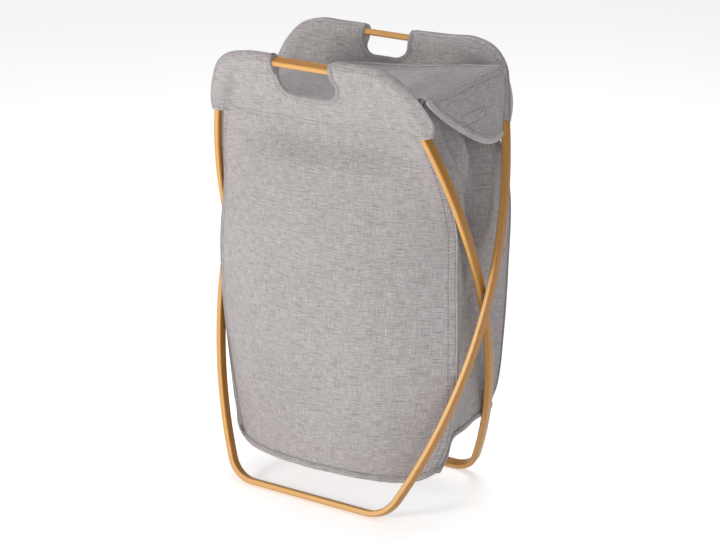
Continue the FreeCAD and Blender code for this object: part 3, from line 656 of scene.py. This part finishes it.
    def binding(self):
        """The turned and sewn edge of the hand opening, wrapped from one layer to the other."""
        path, inward = hand_path(self.hand, self.top, 0.004)
        section = [(0.0052, 0.0002), (0.0048, 0.0005), (0.0025, 0.0008), (0.0006, 0.0010),
                   (-0.0006, 0.0005)]
        rows = []
        for which in (1, -1):
            for reach, lift in section if which > 0 else section[::-1]:
                flat = path + inward * reach
                flat[:, 1] = np.minimum(flat[:, 1], [self.top(x) - 0.0002 for x in flat[:, 0]])
                rows.append(self.point(flat, self.out(flat, which) + which * lift))
        grid = np.stack(rows, 1)
        along = distances(path)
        width = np.linspace(0, 0.02, grid.shape[1])
        uv = points_of(width[None, :], along[:, None])
        piece = grid_piece(self.name + "_hand_edge", grid, uv)
        piece.data.flip_normals()
        hole = on_loop(self.side, (self.hand[0] + self.hand[1]) / 2, self.hand[2] + 0.03, 0.0)
        normals = sum(np.dot(np.array(p.normal), hole - np.array(p.center))
                      for p in piece.data.polygons)
        if normals < 0:
            piece.data.flip_normals()
        return piece

    def thread(self):
        """Stitch lines: along the fold, above the seam, and round the hand opening."""
        inward = to_the_right(self.edge)
        rim = self.edge + inward * RIM_STITCH
        rim = rim[rim[:, 1] > self.seam_at(rim[:, 0]) + 0.004]
        left, right = self.hand[0] - 0.009, self.hand[1] + 0.009
        xs = np.arange(self.left + 0.004, self.right - 0.004, 0.003)
        seam = np.stack([xs, self.seam_at(xs) + 0.0055], -1)
        hand, into = hand_path(self.hand, self.top, 0.003)
        around = hand + into * 0.0068
        around = around[around[:, 1] < np.array([self.top(x) for x in around[:, 0]]) - 0.004]
        lines = []
        for which in (1, -1):
            for flat in (rim[rim[:, 0] < left], rim[rim[:, 0] > right], seam, around):
                path = self.point(flat, self.out(flat, which) + which * 0.0001)
                outward = on_loop(self.side, 0, 0, which * 1.0) - on_loop(self.side, 0, 0, 0.0)
                lines.append((path, outward))
        return stitches(self.name + "_thread", lines)

    def seam_cord(self):
        """The ridge where the two layers meet along the fold."""
        path = self.point(self.edge, np.full(len(self.edge), -0.0004))
        parts = [path[self.edge[:, 0] < self.hand[0] - 0.001],
                 path[self.edge[:, 0] > self.hand[1] + 0.001]]
        normal = on_loop(self.side, 0, 0, 1.0) - on_loop(self.side, 0, 0, 0.0)
        return [sweep("%s_fold_%s" % (self.name, end), part, normal, oval(0.0020, 0.0026, 8))
                for end, part in zip(("left", "right"), parts)]


def strip_line(bow):
    """The bamboo's centreline over the top of a loop, in the loop's plane."""
    across, rise = bow
    corner_rise = HALF_SPAN - CORNER_RADIUS
    corner_x = across + math.sqrt((BOW_RADIUS - CORNER_RADIUS)**2 - (corner_rise - rise)**2)
    rises = np.linspace(0.20, corner_rise, 30)
    leg = np.stack([across + np.sqrt(BOW_RADIUS**2 - (rises - rise)**2), rises], -1)
    turn = np.linspace(math.atan2(corner_rise - rise, corner_x - across), math.pi / 2, 16)
    corner = np.stack([corner_x + CORNER_RADIUS * np.cos(turn),
                       corner_rise + CORNER_RADIUS * np.sin(turn)], -1)
    rail = np.stack([np.arange(corner_x, 0, -0.004), np.full(int(np.ceil(corner_x / 0.004)),
                                                             HALF_SPAN)], -1)
    half = np.concatenate([leg, corner, rail])
    return np.concatenate([half, half * (-1, 1)])


def inside_of(polygon, points):
    """Which points lie inside a closed polygon."""
    x, y = points[:, 0], points[:, 1]
    inside = np.zeros(len(points), bool)
    for (ax, ay), (bx, by) in zip(polygon, np.roll(polygon, -1, axis=0)):
        crosses = (ay > y) != (by > y)
        if ay != by:
            inside ^= crosses & (x < (bx - ax) * (y - ay) / (by - ay) + ax)
    return inside


# ---------------------------------------------------------------- the bag

def level(values, z):
    return smooth_through(BAG_Z, values, z)


def plane_y(side, z):
    """Where the plane of a loop's upper half is, at a height."""
    return side * (z - PIVOT_Z) * math.tan(LEAN)


def rows_between(place, shares, top):
    """Heights of the cloth's rows, from the hem, which is higher at the rear, to the top."""
    z = HEM_Z[0] + shares * (top - HEM_Z[0])
    for _ in range(4):
        base = smooth_through(HEM_Y, HEM_Z, place(z))
        z = base + shares * (top - base)
    return z


def front_or_rear(name, side, seed):
    shares = np.linspace(0, 1, 150)[:, None]
    s = np.linspace(-1, 1, 131)[None, :]
    wide, reach, seam = ((FRONT_HALF_WIDTH, FRONT_REACH, FRONT_SEAM) if side < 0
                         else (REAR_HALF_WIDTH, REAR_REACH, REAR_SEAM))
    seam_z = PIVOT_Z + SEAM_RISE * math.cos(LEAN)
    round_share = 1 - np.abs(s)**2.4

    def depth_at(z):
        depth = level(seam, z) + (level(reach, z) - level(seam, z)) * round_share
        # Above the seam the cloth runs up inside the header, in the plane of the loop.
        up = ease(seam_z - 0.060, seam_z + 0.004, z)
        return depth * (1 - up) + np.abs(plane_y(side, z)) * up

    z = rows_between(lambda z: side * depth_at(z), shares, PANEL_TOP)
    up = ease(seam_z - 0.045, seam_z + 0.004, z)
    x = s * level(wide, z)
    flat = points_of(x, z, 0 * x).reshape(-1, 3)
    loose = (1 - up) * ease(0, 0.10, 1 - np.abs(s))
    wave = (0.0036 * ripple(flat, (0.10, 0.28, 1), seed, x)
            + 0.0016 * ripple(flat, (0.045, 0.13, 1), seed + 3, x)
            + 0.0006 * ripple(flat, (0.016, 0.030, 1), seed + 6, x)) * loose
    hem = np.exp(-(shares / 0.04)**2)
    gather = np.exp(-((z - seam_z) / 0.016)**2) * (z < seam_z)
    wave = wave + (0.0010 * hem + 0.0009 * gather) * ripple(
        flat, (0.009, 0.06, 1), seed + 9).reshape(x.shape)
    # The bottom corners are cut round.
    near_hem = np.exp(-(shares / 0.05)**2)
    z = z + 0.012 * np.abs(s)**10 * near_hem
    y = side * (depth_at(z) + wave)
    grid = np.stack([x, y, z], -1)
    uv = points_of(s * 0.2, z)
    piece = grid_piece(name, grid, uv)
    face_towards(piece, lambda p: (0, side, 0))
    return give_thickness(piece, CLOTH), grid


def gusset(name, side, top, seed):
    shares = np.linspace(0, 1, 150)[:, None]
    t = np.linspace(-1, 1, 101)[None, :]
    back = (t + 1) / 2

    def along(z):
        return level(REAR_SEAM, z) * back - level(FRONT_SEAM, z) * (1 - back)

    z = rows_between(along, shares, top)
    y = along(z)
    half = level(FRONT_HALF_WIDTH, z) * (1 - back) + level(REAR_HALF_WIDTH, z) * back
    free = np.clip(1 - t * t, 0, 1)
    x = half - level(CREASE, z) * (0.6 * free + 0.4 * np.exp(-((t + 0.15) / 0.30)**2) * free)
    flat = points_of(y, z, 0 * y).reshape(-1, 3)
    loose = free**0.6
    wave = (0.0040 * ripple(flat, (0.045, 0.16, 1), seed, x)
            + 0.0018 * ripple(flat, (0.022, 0.06, 1), seed + 3, x)) * loose
    # Slack folds run down from the mouth towards the front and rear seams.
    for start, end, depth, width, reach in ((0.55, -0.75, 0.0170, 0.014, 0.90),
                                            (-0.30, -0.10, 0.0080, 0.011, 0.60),
                                            (-0.80, -0.55, 0.0060, 0.008, 0.50)):
        share = (top - z) / (top - 0.28)
        centre = (start + (end - start) * share + 1) / 2
        centre = level(REAR_SEAM, z) * centre - level(FRONT_SEAM, z) * (1 - centre)
        strong = ease(0, 0.10, share) * (1 - ease(reach * 0.6, reach, share))
        offset = (y - centre) / width
        wave = wave - depth * strong * np.exp(-offset**2) * loose
        wave = wave + 0.5 * depth * strong * np.exp(-(offset - 1.8)**2) * loose
    near_hem = np.exp(-(shares / 0.05)**2)
    z = z + 0.012 * np.clip(-t, 0, 1)**8 * near_hem + 0.006 * np.clip(t, 0, 1)**8 * near_hem
    # The front corner of the mouth is gathered up to the header's shoulder.
    gather = ease(0.35, 0.95, -t) * ease(0.90, 1.0, shares) * max(0.0, side)
    z = z + 0.027 * gather
    y = y - 0.0125 * gather + 0.0030 * gather * np.sin(t * 70)
    x = x + 0.0050 * gather + 0.0025 * gather * np.sin(t * 55 + 1)
    grid = np.stack([side * (x + wave), y + 0 * x, z], -1)
    uv = points_of(y * 1.0, z + 1.7)
    piece = grid_piece(name, grid, uv)
    face_towards(piece, lambda p: (side, 0, 0))
    return give_thickness(piece, CLOTH), grid


def bottom_edge(front, rear, left, right):
    """The closed lower edge of the bag, round its four panels."""
    return np.concatenate([front[0], right[0][1:], rear[0][::-1][1:], left[0][::-1][1:-1]])


def bottom_cloth(ring):
    """The bag's base: a sheet that sags a little between its sewn edges."""
    centre = ring.mean(0)
    shares = np.linspace(0, 1, 26)
    rows = []
    for share in shares:
        row = centre + (ring - centre) * share
        row[:, 2] -= 0.007 * (1 - share**2)
        row[:, 2] += 0.0018 * ripple(row, (0.05, 0.05, 0.4), 3.0) * (1 - share)
        row[:, 2] -= 0.003
        rows.append(row)
    grid = np.stack(rows)
    rows, columns = grid.shape[:2]
    faces = grid_faces(rows, columns, closed=True)[columns:]
    points = grid.reshape(-1, 3)[columns:]
    faces = [tuple(i - columns for i in f) for f in faces]
    faces.append(tuple(range(columns)))
    piece = mesh_piece("bottom_panel_cloth", points, faces, points[:, :2])
    face_towards(piece, lambda p: (0, 0, -1))
    return give_thickness(piece, CLOTH)


def bottom_band(ring):
    """The hem round the base, a folded band with a line of stitches."""
    closed = np.concatenate([ring, ring[:1]])
    tangent = np.gradient(closed, axis=0)
    outward = np.cross(tangent, (0, 0, 1.0))
    outward /= np.linalg.norm(outward, axis=1, keepdims=True)
    if (outward[0] * (ring[0] - ring.mean(0))).sum() < 0:
        outward = -outward
    section = [(-0.0020, 0.0015), (-0.0024, -HEM + 0.001), (-0.0012, -HEM), (0.0012, -HEM),
               (0.0021, -HEM + 0.0012), (0.0021, 0.0004), (0.0012, 0.0016)]
    rings = np.stack([ring + outward[:-1] * a + np.array([0, 0, b]) for a, b in section], 1)
    count = len(section)
    faces = grid_faces(len(ring), count, closed=True)
    last = (len(ring) - 1) * count
    faces += [(last + c, last + (c + 1) % count, (c + 1) % count, c) for c in range(count)]
    along = distances(ring)
    around = np.array([0, .009, .0102, .0126, .0140, .0195, .021])
    uv = points_of(along[:, None], around[None, :])
    piece = mesh_piece("bottom_hem_band", rings.reshape(-1, 3), faces, uv.reshape(-1, 2))
    thread = stitches("bottom_hem_thread",
                      [(closed + outward * 0.0021 + np.array([0, 0, -0.0012]), outward)])
    return piece, thread


# ---------------------------------------------------------------- lid and tongue

def lid_surface(u, v, seed=21.0):
    """A point of the lid's upper face: u runs from the hinge to the crease, v from the front."""
    u, v = np.broadcast_arrays(np.asarray(u, float), np.asarray(v, float))
    x = LID_HINGE[0] + (LID_CREASE[0] - LID_HINGE[0]) * u
    z = LID_HINGE[1] + LID_THICK + (LID_CREASE[1] - LID_HINGE[1]) * u
    z = z + LID_REAR_LIFT * ease(-0.6, 1.0, v) * np.clip(u, 0, 1)
    # Its long edges lie against the headers, which are thicker over the legs.
    half = plane_y(1, z) - LID_CLEAR - LID_CLEAR_AT_LEGS * ease(0.115, 0.150, np.abs(x))
    # It hangs slack, and dips further along the front header than along the rear one.
    slack = np.sin(np.clip(u, 0, 1) * math.pi) * (1 - 0.85 * ease(0.0, 1.0, v))
    flat = np.stack([x, v * half], -1).reshape(-1, 2)
    wave = ripple(flat, (0.12, 0.06), seed) * 0.0035 + ripple(flat, (0.05, 0.03), seed + 2) * 0.0013
    wave = wave.reshape(x.shape) * np.sin(np.clip(u, 0, 1) * math.pi)**0.6
    z = z - 0.0150 * slack + wave
    z = z + 0.0015 * np.abs(v)**8
    return np.stack([x, v * half, z], -1)


def lid_cloth():
    u = np.linspace(0, 1, 111)[:, None]
    v = np.linspace(-1, 1, 71)[None, :]
    grid = lid_surface(u, v)
    uv = points_of(grid[..., 0], grid[..., 1] + 2.3)
    piece = grid_piece("lid_cloth", grid, uv)
    face_towards(piece, lambda p: (0, 0, 1))
    return give_thickness(piece, LID_THICK)


def lid_edges():
    pieces, lines = [], []
    u = np.linspace(0.0, 0.992, 90)
    for side, name in ((-1, "front"), (1, "rear")):
        path = lid_surface(u, side * 1.0)
        path[:, 2] -= LID_THICK / 2
        path[:, 1] -= side * 0.0018
        pieces.append(sweep("lid_tape_" + name, path, (0, 0, 1.0), oval(0.0072, 0.0048, 12)))
        inner = lid_surface(u, side * 0.93)
        lines.append((inner, (0, 0, 1.0)))
    v = np.linspace(-0.93, 0.93, 60)
    lines.append((lid_surface(0.972, v), (0, 0, 1.0)))
    lines.append((lid_surface(0.03, v), (0, 0, 1.0)))
    return pieces, stitches("lid_thread", lines)


def tongue_surface(y, drop, out=0.0):
    """A point of the tongue's outer face: it rolls over the crease, then hangs and flares."""
    y, drop = np.broadcast_arrays(np.asarray(y, float), np.asarray(drop, float))
    roll = CREASE_ROLL
    arc = roll * (math.pi / 2 - TONGUE_FLARE)
    turn = np.clip(drop / arc, -1, 1) * (math.pi / 2 - TONGUE_FLARE)
    past = np.clip(drop - arc, 0, None)
    past_x, past_z = math.sin(TONGUE_FLARE), -math.cos(TONGUE_FLARE)
    x = roll * np.sin(turn) + past * past_x
    z = roll * np.cos(turn) - roll + past * past_z
    # The flap is a little curved across, and its lower part curls back in.
    across = 1 - (y / 0.10)**2
    x = x + 0.0035 * across * ease(0.0, 0.05, drop) - 0.0020 * ease(0.04, 0.09, drop)
    flat = np.stack([y, drop], -1).reshape(-1, 2)
    x = x + 0.0016 * ripple(flat, (0.05, 0.04), 33.0, x) * ease(0, 0.02, drop)
    normal_x = np.where(drop < arc, np.sin(turn), math.cos(TONGUE_FLARE))
    normal_z = np.where(drop < arc, np.cos(turn), math.sin(TONGUE_FLARE))
    crease_z = LID_CREASE[1] + LID_THICK - 0.0002 + LID_REAR_LIFT * ease(-0.6, 1.0, y / CREASE_HALF)
    return np.stack([LID_CREASE[0] - 0.0035 + x + out * normal_x, y,
                     crease_z + z + out * normal_z], -1)


def tongue_cloth():
    edge = resample(TONGUE_EDGE, 0.0024)
    share = np.linspace(0, 1, 44)[:, None]
    y, drop = edge[None, :, 0], edge[None, :, 1]
    # Rows go from the crease to the edge, so the edge itself is smooth.
    crease_y = np.linspace(-CREASE_HALF, CREASE_HALF, edge.shape[0])[None, :]
    grid = tongue_surface(crease_y * (1 - share) + y * share, drop * share - 0.002 * (1 - share))
    uv = np.stack([crease_y * (1 - share) + y * share, drop * share + 3.1], -1)
    piece = grid_piece("tongue_cloth", grid, uv)
    face_towards(piece, lambda p: (1, 0, 0.3))
    piece = give_thickness(piece, LID_THICK)
    path = tongue_surface(edge[:, 0], edge[:, 1], -LID_THICK / 2)
    path = path[1:-1]
    tape = sweep("tongue_tape", path, (math.cos(TONGUE_FLARE), 0, math.sin(TONGUE_FLARE)),
                 oval(0.0095, 0.0050, 14))
    inward = to_the_right(edge)
    near = edge + inward * 0.0076
    near = near[near[:, 1] > 0.006]
    out = (math.cos(TONGUE_FLARE), 0, math.sin(TONGUE_FLARE))
    lines = [(tongue_surface(near[:, 0], near[:, 1], 0.0001), out)]
    crease = np.linspace(-0.084, 0.084, 60)
    lines.append((tongue_surface(crease, 0.0115, 0.0001), out))
    patch = np.linspace(-0.030, 0.030, 24)
    for drop in (0.041, 0.0565):
        lines.append((tongue_surface(patch, drop, 0.0001), out))
    for end in (-0.030, 0.030):
        down = np.linspace(0.041, 0.0565, 8)
        lines.append((tongue_surface(np.full(8, end), down, 0.0001), out))
    return piece, tape, stitches("tongue_thread", lines)


def patch(name, grid_of, width, height, thickness):
    """A small stitched-on strip of hook-and-loop tape, slightly domed, with a tufted face."""
    a = np.linspace(-0.5, 0.5, 49)[None, :]
    b = np.linspace(-0.5, 0.5, 17)[:, None]
    edge = np.minimum(0.5 - np.abs(a), (0.5 - np.abs(b)) * height / width)
    lift = thickness * ease(0.0, 0.02, edge)
    flat = points_of(a * width, b * height).reshape(-1, 2)
    lift = lift * (1 + 0.18 * ripple(flat, (0.0022, 0.0022), 5.0, lift))
    grid = grid_of(a * width, b * height, lift)
    uv = flat.reshape(grid.shape[:2] + (2,))
    return give_thickness(grid_piece(name, grid, uv), 0.0006)


# ---------------------------------------------------------------- studio

def aimed(at, aim):
    """The turn that points a lamp or a camera from one place to another."""
    return (Vector(aim) - Vector(at)).to_track_quat("-Z", "Y").to_euler()


def area_light(name, at, aim, size, energy, colour=(1, 1, 1)):
    light = bpy.data.lights.new(name, "AREA")
    light.shape, light.size, light.energy, light.color = "DISK", size, energy, colour
    lamp = bpy.data.objects.new(name, light)
    lamp.location = at
    lamp.rotation_euler = aimed(at, aim)
    bpy.context.scene.collection.objects.link(lamp)


def studio():
    corners = [(FLOOR_HALF * a, FLOOR_HALF * b, -FLOOR_DROP)
               for a, b in ((-1, -1), (1, -1), (1, 1), (-1, 1))]
    floor = mesh_piece("studio_floor", corners, [(0, 1, 2, 3)], smooth=False)
    floor.data.materials.append(floor_finish())
    area_light("key", (-1.0, -3.0, 0.98), (0, 0, 0.38), 1.0, 66.0, (1.0, 0.99, 0.97))
    area_light("fill", (3.0, -1.2, 1.1), (0, 0, 0.3), 1.6, 9.0, (0.97, 0.985, 1.0))
    area_light("top", (-0.3, 0.9, 2.8), (0, 0, 0.3), 2.0, 32.0)
    world = bpy.data.worlds.new("studio_world")
    world.use_nodes = True
    back = world.node_tree.nodes["Background"]
    back.inputs["Color"].default_value = (1.0, 1.0, 1.0, 1.0)
    back.inputs["Strength"].default_value = 0.42
    bpy.context.scene.world = world
    bpy.context.scene.view_settings.view_transform = "Standard"

    lens = bpy.data.cameras.new("camera")
    lens.lens, lens.sensor_width = CAMERA_LENS, 36.0
    lens.shift_x, lens.shift_y = CAMERA_SHIFT
    camera = bpy.data.objects.new("camera", lens)
    camera.location = CAMERA_AT
    camera.rotation_euler = aimed(CAMERA_AT, CAMERA_AIM)
    bpy.context.scene.collection.objects.link(camera)
    bpy.context.scene.camera = camera


# ---------------------------------------------------------------- the model

def finish_with(piece, material, slot, body, *replaced):
    piece.data.materials.clear()
    piece.data.materials.append(material)
    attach(piece, body)
    if replaced:
        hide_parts(*replaced)
    return piece


def flattens(*pieces, keep=0.10, height=0.33):
    """Gives each piece its own copy of its mesh data; nothing here folds the cloth."""
    for piece in pieces:
        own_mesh(piece)


LINEN = linen("linen_grey", (0.470, 0.438, 0.440), (0.225, 0.204, 0.206))
TAPE = linen("linen_tape", (0.56, 0.525, 0.525), (0.33, 0.305, 0.307), thread=0.0008)
EDGE = linen("linen_edge", (0.42, 0.392, 0.395), (0.215, 0.195, 0.198), thread=0.0008)
THREAD = linen("sewing_thread", (0.22, 0.20, 0.203), (0.13, 0.115, 0.118), thread=0.0004)
NAP = nap("hook_and_loop_nap", (0.30, 0.29, 0.29), (0.52, 0.50, 0.50))
OUTER_BAMBOO = bamboo("bamboo_outer", *OUTER_BOW, REAR)
INNER_BAMBOO = bamboo("bamboo_inner", *INNER_BOW, FRONT)

cad_finish = {
    "outer_loop_lower": OUTER_BAMBOO, "outer_loop_upper": OUTER_BAMBOO,
    "inner_loop_lower": INNER_BAMBOO, "inner_loop_upper": INNER_BAMBOO,
    "pivot_screws": metal("steel", (0.42, 0.42, 0.43), (0.62, 0.62, 0.63)),
    "threaded_inserts": metal("brass", (0.55, 0.38, 0.14), (0.78, 0.58, 0.26)),
    "pivot_washers": plastic("nylon", (0.16, 0.09, 0.04), (0.24, 0.14, 0.07)),
}
for name, material in cad_finish.items():
    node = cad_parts[name]
    node.data.materials.clear()
    node.data.materials.append(material)
    node.data.shade_smooth()
    node.data.set_sharp_from_angle(angle=math.radians(35))

# Headers: each rides its own loop.
for name, side, outline, hand, seed, body in (
        ("front_header", FRONT, FRONT_HEADER, FRONT_HAND, 1.0, "inner_frame"),
        ("rear_header", REAR, REAR_HEADER, REAR_HAND, 12.0, "outer_frame")):
    header = Header(name, side, outline, hand, seed)
    cloth = finish_with(header.cloth(), LINEN, "linen", body, name + "_face", name + "_lining")
    edge = finish_with(header.binding(), EDGE, "binding", body,
                       name.replace("header", "handle_binding"))
    thread = finish_with(header.thread(), THREAD, "binding", body)
    folds = [finish_with(fold, EDGE, "binding", body) for fold in header.seam_cord()]

# The bag.
front, front_grid = front_or_rear("front_panel_cloth", FRONT, 40.0)
rear, rear_grid = front_or_rear("rear_panel_cloth", REAR, 55.0)
left, left_grid = gusset("left_side_cloth", LEFT, LEFT_TOP, 70.0)
right, right_grid = gusset("right_side_cloth", RIGHT, RIGHT_TOP, 83.0)
ring = bottom_edge(front_grid, rear_grid, left_grid, right_grid)
base = bottom_cloth(ring)
band, band_thread = bottom_band(ring)
for piece, node in ((front, "front_panel"), (rear, "rear_panel"), (left, "left_side_panel"),
                    (right, "right_side_panel"), (base, "bottom_panel"), (band, "bottom_hem")):
    finish_with(piece, LINEN, "linen", "bag", node)
finish_with(band_thread, THREAD, "binding", "bag")

seams, seam_lines = [], []
for name, grid, column, side_x, side_y in (
        ("front_left", front_grid, 0, -1, -1), ("front_right", front_grid, -1, 1, -1),
        ("rear_left", rear_grid, 0, -1, 1), ("rear_right", rear_grid, -1, 1, 1)):
    path = grid[::2, column][:-2]
    seams.append(sweep("side_seam_" + name, path, (side_x * 0.8, side_y * 0.6, 0),
                       oval(0.0034, 0.0026, 8)))
    inner = grid[::2, 3 if column == 0 else -4][:-4]
    seam_lines.append((inner + np.array([0, side_y * 0.0002, 0]), (0, side_y, 0)))
mouth = right_grid[-1]
seams.append(sweep("mouth_hem_roll", mouth, (0, 0, 1.0), oval(0.0040, 0.0060, 10)))
seam_thread = stitches("side_seam_thread", seam_lines)
for seam in seams:
    finish_with(seam, LINEN, "linen", "bag")
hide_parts("mouth_hem")
finish_with(seam_thread, THREAD, "binding", "bag")
flattens(front, rear, left, right, base, band, band_thread, seam_thread, *seams)

# Lid and tongue.
lid = finish_with(lid_cloth(), LINEN, "linen", "lid", "lid_panel", "lid_lining")
tapes, lid_thread = lid_edges()
for tape in tapes:
    finish_with(tape, TAPE, "binding", "lid", "lid_binding")
finish_with(lid_thread, THREAD, "binding", "lid")
flattens(lid, lid_thread, *tapes, keep=0.06, height=0.6)

tongue, tongue_tape, tongue_thread = tongue_cloth()
finish_with(tongue, LINEN, "linen", "tongue", "tongue_panel", "tongue_lining")
finish_with(tongue_tape, TAPE, "binding", "tongue", "tongue_binding")
finish_with(tongue_thread, THREAD, "binding", "tongue")
hooks = patch("hook_patch_tape", lambda a, b, lift: tongue_surface(
    a, 0.0485 - b, -LID_THICK - lift), *PATCH_SIZE, 0.0012)
finish_with(hooks, NAP, "hook_and_loop", "tongue", "hook_patch")
flattens(tongue, tongue_tape, tongue_thread, hooks, keep=0.10, height=0.6)


def on_gusset(a, b, lift):
    """A point on the outside of the right side panel, across and up from the tape's middle."""
    a, b, lift = np.broadcast_arrays(a, b, lift)
    rows = right_grid[:, :, 2].mean(1)
    columns = right_grid[-1, :, 1]
    row = np.interp(LOOP_TAPE_Z + b, rows, np.arange(len(rows)))
    column = np.interp(a, columns, np.arange(len(columns)))
    at = right_grid[np.round(row).astype(int), np.round(column).astype(int)]
    return np.stack([at[..., 0] + 0.0006 + lift, a, LOOP_TAPE_Z + b], -1)


loops = patch("loop_patch_tape", on_gusset, *PATCH_SIZE, 0.0010)
finish_with(loops, NAP, "hook_and_loop", "bag", "loop_patch")
flattens(loops)

studio()
